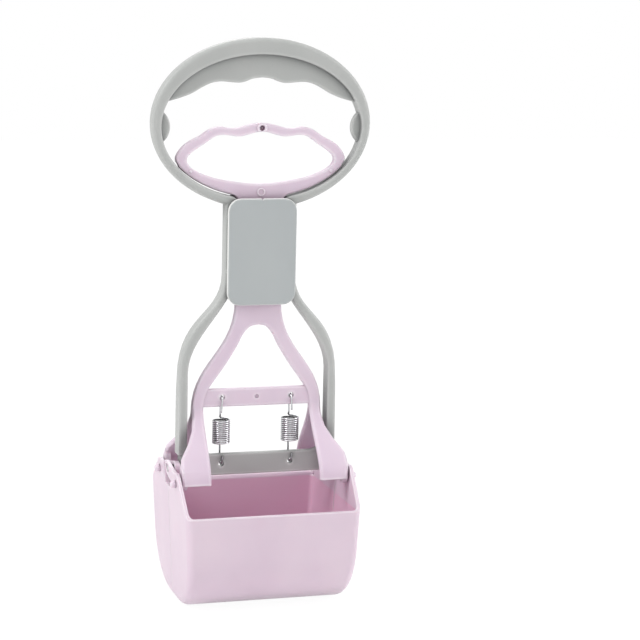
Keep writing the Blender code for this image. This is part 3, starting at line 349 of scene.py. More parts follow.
@dataclass(frozen=True)
class MouldedPlastic:
    """Injection-moulded plastic with a fine grain, faint flow clouds and rubbed spots."""

    name: str
    deep: Colour
    base: Colour
    light: Colour
    # painted highlight along outer edges, and painted shade in corners, gaps and recesses
    edge: PaintedLight
    painted_shade: PaintedLight
    roughness: Pair
    subsurface: float = 0.0
    subsurface_radius: Triple = (1.0, 0.62, 0.72)
    subsurface_depth: float = 0.0018
    ior: float = 1.46
    cloud_places: Triple = (0.28, 0.52, 0.78)
    clouds: Noise = Noise(scale=38.0, detail=3.0, rough=0.45, stretch=(1.0, 1.0, 0.55))
    rubbing: Noise = Noise(scale=210.0, detail=4.0, rough=0.62)
    grain: Noise = Noise(scale=2600.0, detail=2.0, rough=0.5)
    grain_relief: Relief = Relief(strength=0.16, depth=0.00003)
    sinks: Noise = Noise(scale=55.0, detail=2.0, rough=0.4)
    sink_relief: Relief = Relief(strength=0.10, depth=0.00018)
    edge_radius: float = 0.0007
    rays: int = 6
    flat_front: bool = False
    # painted shade on the walls inside the bucket, below its rim
    painted_inner_shade: Colour | None = None
    hollow_middle: Triple = (0.0, 0.0, 0.040)
    hollow_facing: Pair = (0.10, 0.34)
    rim_height: Pair = (0.0497, 0.0502)

    def paint_inner_shade(self, tree: NodeTree, outside: Socket) -> Socket:
        """Paint shade on the walls that look into the bucket, below its rim.

        Args:
            tree: The material's nodes.
            outside: Output with the colour of the outer walls.

        Returns:
            The output with the colour of all walls.
        """
        place = tree.add("ShaderNodeTexCoord", "place and direction of the wall")
        inwards = tree.add("ShaderNodeVectorMath", "way to the middle")
        inwards.operation = "SUBTRACT"
        inwards.inputs[0].default_value = self.hollow_middle
        tree.link(place.outputs["Object"], inwards, 1)
        unit = tree.add("ShaderNodeVectorMath", "its direction alone")
        unit.operation = "NORMALIZE"
        tree.link(inwards.outputs["Vector"], unit, 0)
        facing = tree.add("ShaderNodeVectorMath", "how far the wall faces inwards")
        facing.operation = "DOT_PRODUCT"
        tree.link(unit.outputs["Vector"], facing, 0)
        tree.link(place.outputs["Normal"], facing, 1)
        share = tree.span("share of the deep colour", facing.outputs["Value"],
                          self.hollow_facing, FROM_ZERO_TO_ONE)
        parts = tree.add("ShaderNodeSeparateXYZ", "height of the wall")
        tree.link(place.outputs["Object"], parts, "Vector")
        rim = tree.span("fades out at the rim", parts.outputs["Z"], self.rim_height, FROM_ONE_TO_ZERO)
        below = tree.add("ShaderNodeMath", "inner walls below the rim")
        below.operation = "MULTIPLY"
        tree.link(share, below, 0)
        tree.link(rim, below, 1)
        # painted shade mixed onto the inner walls
        return tree.mix("inner and outer colour", below.outputs["Value"], outside, self.painted_inner_shade)

    def open_share(self, tree: NodeTree, label: str, reach: float, inside: bool) -> Socket:
        """Find how far each place is open around it.

        Args:
            tree: The material's nodes.
            label: What the share tells here.
            reach: How far other surfaces count.
            inside: Looks into the piece's own wall, which is thin at an outer edge.

        Returns:
            The output with the open share.
        """
        node = tree.add("ShaderNodeAmbientOcclusion", label)
        node.inside = inside
        node.only_local = inside
        node.samples = self.rays
        node.inputs["Distance"].default_value = reach
        return node.outputs["AO"]

    def front_share(self, tree: NodeTree) -> Socket:
        """Find how far each place faces straight to the front or to the rear.

        Args:
            tree: The material's nodes.

        Returns:
            The output with the share, which falls on a rounded edge.
        """
        place = tree.add("ShaderNodeTexCoord", "direction of the face")
        parts = tree.add("ShaderNodeSeparateXYZ", "its share to the front")
        flat = tree.add("ShaderNodeMath", "flat front and back")
        flat.operation = "ABSOLUTE"
        tree.link(place.outputs["Normal"], parts, "Vector")
        tree.link(parts.outputs["Y"], flat, 0)
        return flat.outputs["Value"]

    def colour(self, tree: NodeTree) -> Socket:
        """Mix the plastic's colour with painted edge highlights and painted shade in corners and gaps.

        Args:
            tree: The material's nodes.

        Returns:
            The output with the colour.
        """
        clouds = tree.noise("flow clouds", self.clouds)
        body = tree.ramp("plastic colour", clouds, self.cloud_places, (self.deep, self.base, self.light))
        if self.painted_inner_shade is not None:
            body = self.paint_inner_shade(tree, body)
        # painted highlight: on the cover where its face turns from the front, on the others at thin outer
        # edges
        if self.flat_front:
            outer = self.front_share(tree)
        else:
            outer = self.open_share(tree, "how near an outer edge is", self.edge.reach, True)
        # painted shade: darker where other surfaces are near, in corners, gaps and recesses
        inner = self.open_share(tree, "how narrow the place is", self.painted_shade.reach, False)
        for name, painted_light, share in (("edge", self.edge, outer), ("painted_shade", self.painted_shade, inner)):
            near = tree.span("share of the %s colour" % name, share, painted_light.fade, (painted_light.share, 0.0))
            body = tree.mix("body and %s colour" % name, near, body, painted_light.colour)
        return body

    def build(self) -> bpy.types.Material:
        """Make the material.

        Returns:
            The new material.
        """
        material = bpy.data.materials.new(self.name)
        tree = NodeTree(material)
        shader = tree.add("ShaderNodeBsdfPrincipled", "plastic")
        shader.inputs["IOR"].default_value = self.ior
        shader.inputs["Subsurface Weight"].default_value = self.subsurface
        shader.inputs["Subsurface Radius"].default_value = self.subsurface_radius
        shader.inputs["Subsurface Scale"].default_value = self.subsurface_depth
        tree.link(self.colour(tree), shader, "Base Color")
        rubbing = tree.noise("rubbed spots", self.rubbing)
        gloss = tree.span("gloss", rubbing, FROM_ZERO_TO_ONE, self.roughness)
        tree.link(gloss, shader, "Roughness")
        edge = tree.add("ShaderNodeBevel", "edges broken by the mould")
        edge.samples = self.rays
        edge.inputs["Radius"].default_value = self.edge_radius
        sinks = tree.noise("sink marks", self.sinks)
        waves = tree.bump("slow waves of the wall", sinks, self.sink_relief, edge.outputs["Normal"])
        grain = tree.noise("mould grain", self.grain)
        tree.link(tree.bump("grain relief", grain, self.grain_relief, waves), shader, "Normal")
        tree.finish(shader.outputs["BSDF"])
        return material


@dataclass(frozen=True)
class Steel:
    """Drawn or turned steel with fine lines along its making."""

    name: str
    dark: Colour
    light: Colour
    roughness: Pair
    lines: Noise
    line_places: Pair = (0.30, 0.70)
    line_relief: Relief = Relief(strength=0.2, depth=0.00002)
    # painted shade in the grooves between a spring's windings and on its hooks
    painted_groove_shade: Colour | None = None
    crest: str = "crest"

    def build(self) -> bpy.types.Material:
        """Make the material.

        Returns:
            The new material.
        """
        material = bpy.data.materials.new(self.name)
        tree = NodeTree(material)
        shader = tree.add("ShaderNodeBsdfPrincipled", "steel")
        shader.inputs["Metallic"].default_value = 1.0
        lines = tree.noise("drawing lines", self.lines)
        body = tree.ramp("steel colour", lines, self.line_places, (self.dark, self.light))
        # painted shade: darker where the crest mark is low, between windings and on the hooks
        if self.painted_groove_shade is not None:
            height = tree.add("ShaderNodeAttribute", "crest of a winding")
            height.attribute_name = self.crest
            body = tree.mix("painted shade between the windings", height.outputs["Fac"], self.painted_groove_shade, body)
        tree.link(body, shader, "Base Color")
        tree.link(tree.span("gloss", lines, FROM_ZERO_TO_ONE, self.roughness), shader, "Roughness")
        tree.link(tree.bump("line relief", lines, self.line_relief), shader, "Normal")
        tree.finish(shader.outputs["BSDF"])
        return material


# In each plastic the edge colour is a painted highlight and the colour after it is painted shade in
# corners, gaps and recesses; the pink jaws also get painted shade on the inner walls of the bucket
GREY_PLASTIC = MouldedPlastic(
    "grey_moulded_plastic", deep=(175, 177, 175), base=(180, 182, 180), light=(185, 186, 184),
    edge=PaintedLight((232, 233, 231), fade=(0.60, 0.97), share=0.5, reach=0.0016),
    painted_shade=PaintedLight((104, 106, 106), fade=(0.50, 0.97), share=0.9, reach=0.0120),
    roughness=(0.36, 0.50),
)
COVER_PLASTIC = MouldedPlastic(
    "grey_cover_plastic", deep=(174, 179, 180), base=(177, 182, 183), light=(180, 185, 185),
    edge=PaintedLight((238, 239, 236), fade=(0.80, 0.99), share=0.85),
    painted_shade=PaintedLight((104, 106, 106), fade=(0.30, 0.72), share=0.9, reach=0.0012),
    roughness=(0.44, 0.56), sink_relief=Relief(strength=0.05, depth=0.00018), flat_front=True,
)
PINK_PLASTIC = MouldedPlastic(
    "pink_moulded_plastic", deep=(216, 196, 211), base=(221, 202, 216), light=(226, 208, 220),
    edge=PaintedLight((248, 238, 245), fade=(0.60, 0.94), share=0.75, reach=0.0010),
    painted_shade=PaintedLight((158, 128, 146), fade=(0.30, 0.72), share=0.9, reach=0.0012),
    roughness=(0.28, 0.42), subsurface=0.12, painted_inner_shade=(226, 190, 210),
)
PINK_SLIDER_PLASTIC = MouldedPlastic(
    "pink_slider_plastic", deep=(218, 199, 216), base=(223, 205, 220), light=(228, 211, 224),
    edge=PaintedLight((248, 238, 246), fade=(0.60, 0.97), share=0.75, reach=0.0016),
    painted_shade=PaintedLight((158, 128, 146), fade=(0.40, 1.00), share=0.4, reach=0.0080),
    roughness=(0.30, 0.44), subsurface=0.12, sink_relief=Relief(strength=0.06, depth=0.00018),
)
SPRING_STEEL = Steel(
    "spring_wire_steel", dark=(206, 207, 210), light=(236, 237, 239), painted_groove_shade=(84, 84, 88),
    roughness=(0.16, 0.26), lines=Noise(scale=900.0, detail=3.0, rough=0.6),
)
SCREW_STEEL = Steel(
    "turned_screw_steel", dark=(168, 170, 173), light=(204, 205, 207), roughness=(0.24, 0.36),
    lines=Noise(scale=1500.0, detail=3.0, rough=0.6, stretch=(1.0, 0.1, 1.0)),
)


class Palette:
    """Builds each finish once and hands it out."""

    def __init__(self) -> None:
        """Start with no finish made."""
        self.made: dict[str, bpy.types.Material] = {}

    def get(self, finish: MouldedPlastic | Steel) -> bpy.types.Material:
        """Hand out the material of a finish, which is made at its first use.

        Args:
            finish: The finish.

        Returns:
            Its material.
        """
        if finish.name not in self.made:
            self.made[finish.name] = finish.build()
        return self.made[finish.name]

    def dress(self, item: bpy.types.Object, finish: MouldedPlastic | Steel) -> None:
        """Give a piece one material all over.

        Args:
            item: The piece.
            finish: Its finish.
        """
        item.data.materials.clear()
        item.data.materials.append(self.get(finish))
        for face in item.data.polygons:
            face.material_index = 0


class Bench:
    """Hand tools of the modeller: selecting, shaping and finishing one piece at a time."""

    @staticmethod
    def clear() -> None:
        """Select nothing."""
        for item in bpy.context.selected_objects:
            item.select_set(False)
        bpy.context.view_layer.objects.active = None

    @staticmethod
    def pick(item: bpy.types.Object) -> None:
        """Select one piece alone and make it the active one.

        Args:
            item: The piece.
        """
        Bench.clear()
        item.select_set(True)
        bpy.context.view_layer.objects.active = item

    @staticmethod
    def choose(item: bpy.types.Object, kind: Element, wanted: Chooser) -> None:
        """Select faces or edges of a piece in edit mode by their place.

        Args:
            item: The piece, in edit mode.
            kind: Whether faces or edges are selected.
            wanted: Says of the middle of a face or edge whether it is selected.
        """
        bpy.ops.mesh.select_mode(type=kind.value)
        mesh = bmesh.from_edit_mesh(item.data)
        for group in (mesh.faces, mesh.edges, mesh.verts):
            for element in group:
                element.select = False
        elements = mesh.faces if kind is Element.FACE else mesh.edges
        for element in elements:
            places = [point.co for point in element.verts]
            if wanted(sum(places, Vector()) / len(places)):
                element.select_set(True)
        bmesh.update_edit_mesh(item.data)

    @staticmethod
    def copy(item: bpy.types.Object, change: Matrix) -> bpy.types.Object:
        """Copy a piece with a mesh of its own.

        Args:
            item: The piece.
            change: What moves or mirrors the mesh of the copy.

        Returns:
            The copy.
        """
        twin = item.copy()
        twin.data = item.data.copy()
        twin.data.transform(change)
        # A mirrored mesh is inside out
        if change.is_negative:
            twin.data.flip_normals()
        bpy.context.scene.collection.objects.link(twin)
        return twin

    @staticmethod
    def apply_modifier(item: bpy.types.Object, name: str) -> None:
        """Apply one modifier of a piece."""
        Bench.pick(item)
        bpy.ops.object.modifier_apply(modifier=name)

    @staticmethod
    def apply_place(item: bpy.types.Object) -> None:
        """Move a piece's place into its mesh, so that its object sits at the origin.

        Args:
            item: The piece.
        """
        bpy.context.view_layer.update()
        item.data.transform(item.matrix_world)
        item.matrix_world = Matrix.Identity(4)

    @staticmethod
    def shade_by_angle(item: bpy.types.Object) -> None:
        """Shade a piece smooth, save at its sharp edges."""
        Bench.pick(item)
        bpy.ops.object.shade_smooth_by_angle(angle=math.radians(SMOOTH_ANGLE))


@dataclass(frozen=True)
class Rounding:
    """How the sharp edges of a solid are rounded, so that they catch light.

    The width and steps are those of the rounding, and the angle is the least one between two faces
    at which their edge is rounded. The modifiers stay live, so the solid's mesh stays as it is.
    """

    width: float
    angle: float
    steps: int = 3
    weld: float = 0.000002
    flat_weight: int = 50

    def soften(self, item: bpy.types.Object) -> None:
        """Round the edges of a solid.

        Args:
            item: The solid.
        """
        item.data.shade_smooth()
        weld = item.modifiers.new("weld", "WELD")
        weld.merge_threshold = self.weld
        bevel = item.modifiers.new("edge_round", "BEVEL")
        bevel.width = self.width
        bevel.segments = self.steps
        bevel.limit_method = "ANGLE"
        bevel.angle_limit = math.radians(self.angle)
        bevel.use_clamp_overlap = True
        bevel.miter_outer = "MITER_ARC"
        normals = item.modifiers.new("flat_faces", "WEIGHTED_NORMAL")
        normals.weight = self.flat_weight
        normals.keep_sharp = False


@dataclass
class Solids:
    """The plain solids of the scooper, which are dressed where they stand."""

    nodes: dict[str, bpy.types.Object]
    palette: Palette

    def dress(self, name: str, rounding: Rounding, finish: MouldedPlastic) -> None:
        """Round and colour one solid.

        Args:
            name: Name of the solid.
            rounding: How its edges are rounded.
            finish: Its finish.
        """
        rounding.soften(self.nodes[name])
        self.palette.dress(self.nodes[name], finish)


@dataclass
class HandleFrame:
    """The grey frame with the handle ring, and the flat cover on its neck."""

    rounding: Rounding = Rounding(width=0.00040, angle=38.0)
    cover_rounding: Rounding = Rounding(width=0.00045, angle=38.0)
    pins: tuple[str, ...] = ("drive_pin_left", "drive_pin_right")

    def build(self, solids: Solids) -> None:
        """Dress the frame, its cover and the drive pins.

        Args:
            solids: The plain solids.
        """
        solids.dress("handle_frame", self.rounding, GREY_PLASTIC)
        solids.dress("front_cover", self.cover_rounding, COVER_PLASTIC)
        for pin in self.pins:
            solids.dress(pin, self.rounding, GREY_PLASTIC)
        LOG.info("frame, cover and drive pins are dressed")


@dataclass
class TriggerSlider:
    """The pink slider with its finger ring, arms, spring bar and feet."""

    rounding: Rounding = Rounding(width=0.00040, angle=42.0)

    def build(self, solids: Solids) -> None:
        """Dress the slider.

        Args:
            solids: The plain solids.
        """
        solids.dress("trigger_slider", self.rounding, PINK_SLIDER_PLASTIC)
        LOG.info("trigger slider is dressed")


@dataclass
class Jaws:
    """The two half-bucket jaws and the pins that they hang on."""

    rounding: Rounding = Rounding(width=0.00045, angle=34.0)
    pin_rounding: Rounding = Rounding(width=0.00015, angle=34.0)
    jaws: tuple[str, ...] = ("front_jaw", "rear_jaw")
    pins: tuple[str, ...] = (
        "hinge_pin_front_left", "hinge_pin_front_right", "hinge_pin_rear_left", "hinge_pin_rear_right",
    )

    def build(self, solids: Solids) -> None:
        """Dress the jaws and their hinge pins.

        Args:
            solids: The plain solids.
        """
        for jaw in self.jaws:
            solids.dress(jaw, self.rounding, PINK_PLASTIC)
        for pin in self.pins:
            solids.dress(pin, self.pin_rounding, PINK_SLIDER_PLASTIC)
        LOG.info("jaws and hinge pins are dressed")


@dataclass
class RimCorners:
    """The two small corners that close the raised rim of the rear jaw at its side walls.

    The lowest and highest point are those of the left corner, and the right one mirrors it.
    """

    low: Triple = (-0.0436, 0.0370, 0.0506)
    high: Triple = (-0.0422, 0.03825, 0.0523)
    corner_round: float = 0.0011
    corner_steps: int = 4
    edge_round: float = 0.0002
    edge_steps: int = 2

    def shape(self) -> bpy.types.Object:
        """Model the left corner.

        Returns:
            The corner.
        """
        low = Vector(self.low)
        high = Vector(self.high)
        slack = self.edge_round / 2.0
        Bench.clear()
        bpy.ops.mesh.primitive_cube_add(size=1.0, location=(low + high) / 2.0)
        item = bpy.context.view_layer.objects.active
        item.scale = high - low
        Bench.apply_place(item)
        bpy.ops.object.mode_set(mode="EDIT")
        Bench.choose(item, Element.EDGE, lambda place: abs(place.x - low.x) < slack
                     and abs(place.y - high.y) < slack)
        bpy.ops.mesh.bevel(offset=self.corner_round, segments=self.corner_steps)
        bpy.ops.mesh.select_all(action="SELECT")
        bpy.ops.mesh.normals_make_consistent(inside=False)
        bpy.ops.object.mode_set(mode="OBJECT")
        bevel = item.modifiers.new("edges", "BEVEL")
        bevel.width = self.edge_round
        bevel.segments = self.edge_steps
        Bench.apply_modifier(item, "edges")
        Bench.shade_by_angle(item)
        return item

    def build(self, palette: Palette) -> None:
        """Make both corners and hang them on the rear jaw.

        Args:
            palette: The finishes.
        """
        left = self.shape()
        right = Bench.copy(left, Matrix.Diagonal((-1.0, 1.0, 1.0, 1.0)))
        for side, item in (("left", left), ("right", right)):
            item.name = "rear_rim_corner_" + side
            palette.dress(item, PINK_PLASTIC)
            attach(item, Body.JAW_REAR.value)
        LOG.info("corners of the rear rim are made")


@dataclass(frozen=True)
class SpringPlace:
    """Which spring it is, and how far the free ends of its hooks lean to the right."""

    side: str
    node: str
    low_lean: float
    high_lean: float


@dataclass
class WoundSprings:
    """The two extension springs between the lower and the upper bar, wound as real wire."""

    turns: int = 12
    points_a_turn: int = 28
    wire_radius: float = 0.00045
    solid_wire_radius: float = 0.00038
    coil_radius: float = 0.00415
    pitch: float = 0.00100
    bar_half: float = 0.0013
    hook_gap: float = 0.0004
    rise_share: float = 0.31
    low_hook: float = 0.0042
    high_hook: float = 0.0074
    hook_bend_share: float = 0.8
    hook_points: int = 8
    lead_share: float = 0.75
    lead_turns: float = 0.9
    straight_turns: float = 2.0
    groove_share: float = 0.35
    # share of plain steel on the hooks, the rest painted shade; the lower hooks get more painted shade
    low_hook_painted_shade: float = 0.32
    high_hook_painted_shade: float = 0.75
    section_steps: int = 4
    weld: float = 0.000001
    bend_reach: float = 0.0008
    places: tuple[SpringPlace, ...] = (
        SpringPlace("left", "left_spring", low_lean=0.0004, high_lean=-0.0006),
        SpringPlace("right", "right_spring", low_lean=0.0010, high_lean=0.0003),
    )

    def smooth(self, points: list[Vector]) -> list[Vector]:
        """Run a smooth line through points, as a Catmull-Rom curve.

        Args:
            points: The points that the line goes through.

        Returns:
            Closer points on the line.
        """
        whole = [points[0] * 2.0 - points[1]] + points + [points[-1] * 2.0 - points[-2]]
        found = []
        for a, b, c, d in zip(whole, whole[1:], whole[2:], whole[3:]):
            for index in range(self.hook_points):
                t = index / self.hook_points
                found.append(0.5 * ((2.0 * b) + (c - a) * t + (2.0 * a - 5.0 * b + 4.0 * c - d) * t * t
                                    + (3.0 * b - 3.0 * c + d - a) * t * t * t))
        found.append(points[-1])
        return found

    def hook(self, hole: float, length: float, coil_end: float, way: float, lean: float) -> list[Vector]:
        """Return the line of one hook.

        Args:
            hole: Height of the hole that the hook goes through.
            length: How far the free end reaches from the hole.
            coil_end: Height of the coil's end at this hook.
            way: 1 where the coil is above the hole, and -1 where it is below.
            lean: How far the free end leans to the right.

        Returns:
            The points of the hook, from the free end to the coil.
        """
        wire = self.wire_radius
        stand = self.bar_half + wire + self.hook_gap
        near = stand * self.hook_bend_share
        lead = self.coil_radius * self.lead_share
        return self.smooth([
            Vector((lean, -stand, hole + way * length)),
            Vector((lean / 2.0, -stand, hole + way * length / 2.0)),
            Vector((0.0, -near, hole + way * wire)),
            Vector((0.0, 0.0, hole - way * wire)),
            Vector((0.0, near, hole + way * wire)),
            Vector((0.0, stand, hole + way * length / 2.0)),
            Vector((0.0, stand, coil_end - way * self.pitch * self.straight_turns)),
            Vector((0.0, lead, coil_end - way * self.pitch * self.lead_turns)),
        ])

    def coil(self, base: float) -> list[Vector]:
        """Return the line of the windings.

        Args:
            base: Height at which the coil starts.

        Returns:
            The points of the coil around the spring's own axis.
        """
        found = []
        for index in range(1, self.turns * self.points_a_turn):
            angle = QUARTER_TURN + FULL_TURN * index / self.points_a_turn
            found.append(Vector((self.coil_radius * math.cos(angle), self.coil_radius * math.sin(angle),
                                 base + self.pitch * index / self.points_a_turn)))
        return found

    def centre_line(self, low_hole: float, high_hole: float, base: float,
                    place: SpringPlace) -> list[Vector]:
        """Return the line of the wire from the lower hook through the coil to the upper hook.

        Args:
            low_hole: Height of the hole in the lower bar.
            high_hole: Height of the hole in the upper bar.
            base: Height at which the coil starts.
            place: The lean of the hooks.

        Returns:
            The points of the line around the spring's own axis.
        """
        top = base + self.pitch * self.turns
        lower = self.hook(low_hole, self.low_hook, base, 1.0, place.low_lean)
        upper = self.hook(high_hole, self.high_hook, top, -1.0, place.high_lean)
        return lower + self.coil(base) + upper[::-1]

    def wind(self, name: str, line: list[Vector], x: float) -> bpy.types.Object:
        """Make the wire along a line.

        Args:
            name: Name of the piece.
            line: The centre line.
            x: Place of the spring across the scooper.

        Returns:
            The spring as a mesh.
        """
        Bench.clear()
        curve = bpy.data.curves.new(name, "CURVE")
        curve.dimensions = "3D"
        curve.bevel_depth = self.wire_radius
        curve.bevel_resolution = self.section_steps
        curve.use_fill_caps = True
        spline = curve.splines.new("POLY")
        spline.points.add(len(line) - 1)
        for place, point in zip(spline.points, line):
            place.co = (point.x + x, point.y, point.z, 1.0)
        item = bpy.data.objects.new(name, curve)
        bpy.context.scene.collection.objects.link(item)
        Bench.pick(item)
        bpy.ops.object.convert(target="MESH")
        item = bpy.context.view_layer.objects.active
        bpy.ops.object.mode_set(mode="EDIT")
        bpy.ops.mesh.select_all(action="SELECT")
        bpy.ops.mesh.remove_doubles(threshold=self.weld)
        bpy.ops.mesh.normals_make_consistent(inside=False)
        bpy.ops.object.mode_set(mode="OBJECT")
        bpy.ops.object.shade_smooth()
        return item

    def mark_crests(self, item: bpy.types.Object, x: float, base: float) -> None:
        """Mark how far each point of the wire stands out of the grooves, for the painted shade there.

        Args:
            item: The spring as a mesh.
            x: Place of the spring's axis across the scooper.
            base: Height at which the coil starts.
        """
        crest = item.data.attributes.new(SPRING_STEEL.crest, "FLOAT", "POINT")
        top = base + self.pitch * self.turns
        for point, mark in zip(item.data.vertices, crest.data):
            reach = math.hypot(point.co.x - x, point.co.y)
            share = (reach - self.coil_radius) / self.wire_radius
            if base < point.co.z < top and reach > self.coil_radius - self.wire_radius:
                mark.value = min(max((share - self.groove_share) / (1.0 - self.groove_share), 0.0), 1.0)
            else:
                # the hooks get a fixed painted shade, darker on the lower hooks than the upper ones
                mark.value = self.low_hook_painted_shade if point.co.z < top else self.high_hook_painted_shade

    def build(self, palette: Palette) -> None:
        """Wind both springs and hang them between the two bars.

        Args:
            palette: The finishes.
        """
        for place in self.places:
            low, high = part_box(place.node)
            middle = (low.x + high.x) / 2.0
            low_hole = low.z + self.solid_wire_radius * 2.0
            high_hole = high.z - self.solid_wire_radius * 2.0
            base = low_hole + (high_hole - low_hole) * self.rise_share
            line = self.centre_line(low_hole, high_hole, base, place)
            item = self.wind("wound_spring_" + place.side, line, middle)
            self.mark_crests(item, middle, base)
            palette.dress(item, SPRING_STEEL)
            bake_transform(item)
            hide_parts(place.node)
            LOG.info("spring %s has %d faces", place.side, len(item.data.polygons))


@dataclass
class CoverScrews:
    """The four screws behind the neck, with domed heads and cross recesses."""

    shank_radius: float = 0.0010
    head_height: float = 0.0012
    head_inset: float = 0.00035
    dome: float = 0.00022
    recess_half_length: float = 0.00115
    recess_half_width: float = 0.00028
    recess_depth: float = 0.00075
    recess_taper: float = 0.6
    chamfer: float = 0.00012
    chamfer_steps: int = 2
    chamfer_angle: float = 40.0
    slack: float = 0.00005
    sides: int = 40
    places: tuple[str, ...] = ("lower_left", "lower_right", "upper_left", "upper_right")

    def turn(self, low: Vector, high: Vector) -> bpy.types.Object:
        """Turn one screw: shank, seat and domed head.

        Args:
            low: Lowest corner of the solid screw.
            high: Highest corner of the solid screw.

        Returns:
            The screw without its recess.
        """
        centre = (low + high) / 2.0
        radius = (high.x - low.x) / 2.0
        seat = high.y - self.head_height
        middle = (centre.x, seat, centre.z)
        Bench.clear()
        bpy.ops.mesh.primitive_cylinder_add(
            vertices=self.sides, radius=self.shank_radius, depth=seat - low.y,
            location=(centre.x, (low.y + seat) / 2.0, centre.z), rotation=(-QUARTER_TURN, 0.0, 0.0),
        )
        item = bpy.context.view_layer.objects.active
        Bench.apply_place(item)
        bpy.ops.object.mode_set(mode="EDIT")
        Bench.choose(item, Element.FACE, lambda place: place.y > seat - self.slack)
        inset = 1.0 - self.head_inset / radius
        for rise, share in (
                (0.0, radius / self.shank_radius),
                (self.head_height - self.dome * 2.0, 1.0),
                (self.dome, inset),
                (self.dome, inset * inset)):
            bpy.ops.mesh.extrude_region_move(TRANSFORM_OT_translate={"value": (0.0, rise, 0.0)})
            bpy.ops.transform.resize(value=(share, 1.0, share), center_override=middle)
        bpy.ops.object.mode_set(mode="OBJECT")
        return item

    def sink_cross(self, item: bpy.types.Object, x: float, top: float, z: float) -> None:
        """Sink the cross recess into a screw head.

        Args:
            item: The screw.
            x: Place of the screw across.
            top: The head's outermost place along Y.
            z: Height of the screw.
        """
        for index, (half_x, half_z) in enumerate((
                (self.recess_half_length, self.recess_half_width),
                (self.recess_half_width, self.recess_half_length))):
            Bench.clear()
            bpy.ops.mesh.primitive_cube_add(size=1.0, location=(x, top, z))
            tool = bpy.context.view_layer.objects.active
            tool.scale = (half_x * 2.0, self.recess_depth * 2.0, half_z * 2.0)
            Bench.apply_place(tool)
            bpy.ops.object.mode_set(mode="EDIT")
            Bench.choose(tool, Element.FACE, lambda place: place.y < top - self.recess_depth / 2.0)
            bpy.ops.transform.resize(value=(self.recess_taper, 1.0, self.recess_taper),
                                     center_override=(x, top, z))
            bpy.ops.object.mode_set(mode="OBJECT")
            name = "recess_%d" % index
            modifier = item.modifiers.new(name, "BOOLEAN")
            modifier.operation = "DIFFERENCE"
            modifier.solver = "EXACT"
            modifier.object = tool
            Bench.apply_modifier(item, name)
            bpy.data.objects.remove(tool, do_unlink=True)

    def chamfer_edges(self, item: bpy.types.Object) -> None:
        """Chamfer the edges of the head and the recess.

        Args:
            item: The screw.
        """
        bevel = item.modifiers.new("chamfer", "BEVEL")
        bevel.width = self.chamfer
        bevel.segments = self.chamfer_steps
        bevel.limit_method = "ANGLE"
        bevel.angle_limit = math.radians(self.chamfer_angle)
        Bench.apply_modifier(item, "chamfer")
        Bench.shade_by_angle(item)

    def build(self, palette: Palette) -> None:
        """Model one screw and put copies of it in the other places.

        Args:
            palette: The finishes.
        """
        first, *others = ("screw_" + place for place in self.places)
        low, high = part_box(first)
        screw = self.turn(low, high)
        self.sink_cross(screw, (low.x + high.x) / 2.0, high.y, (low.z + high.z) / 2.0)
        self.chamfer_edges(screw)
        screws = {first: screw}
        for node in others:
            screws[node] = Bench.copy(screw, Matrix.Translation(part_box(node)[0] - low))
        for node, item in screws.items():
            item.name = "cross_" + node
            palette.dress(item, SCREW_STEEL)
            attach(item, Body.FRAME.value)
            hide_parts(node)
        LOG.info("%d screws are made", len(screws))


@dataclass(frozen=True)
class Lamp:
    """A square soft lamp: its place, its width and its power in watts."""

    name: str
    place: Triple
    width: float
    power: float


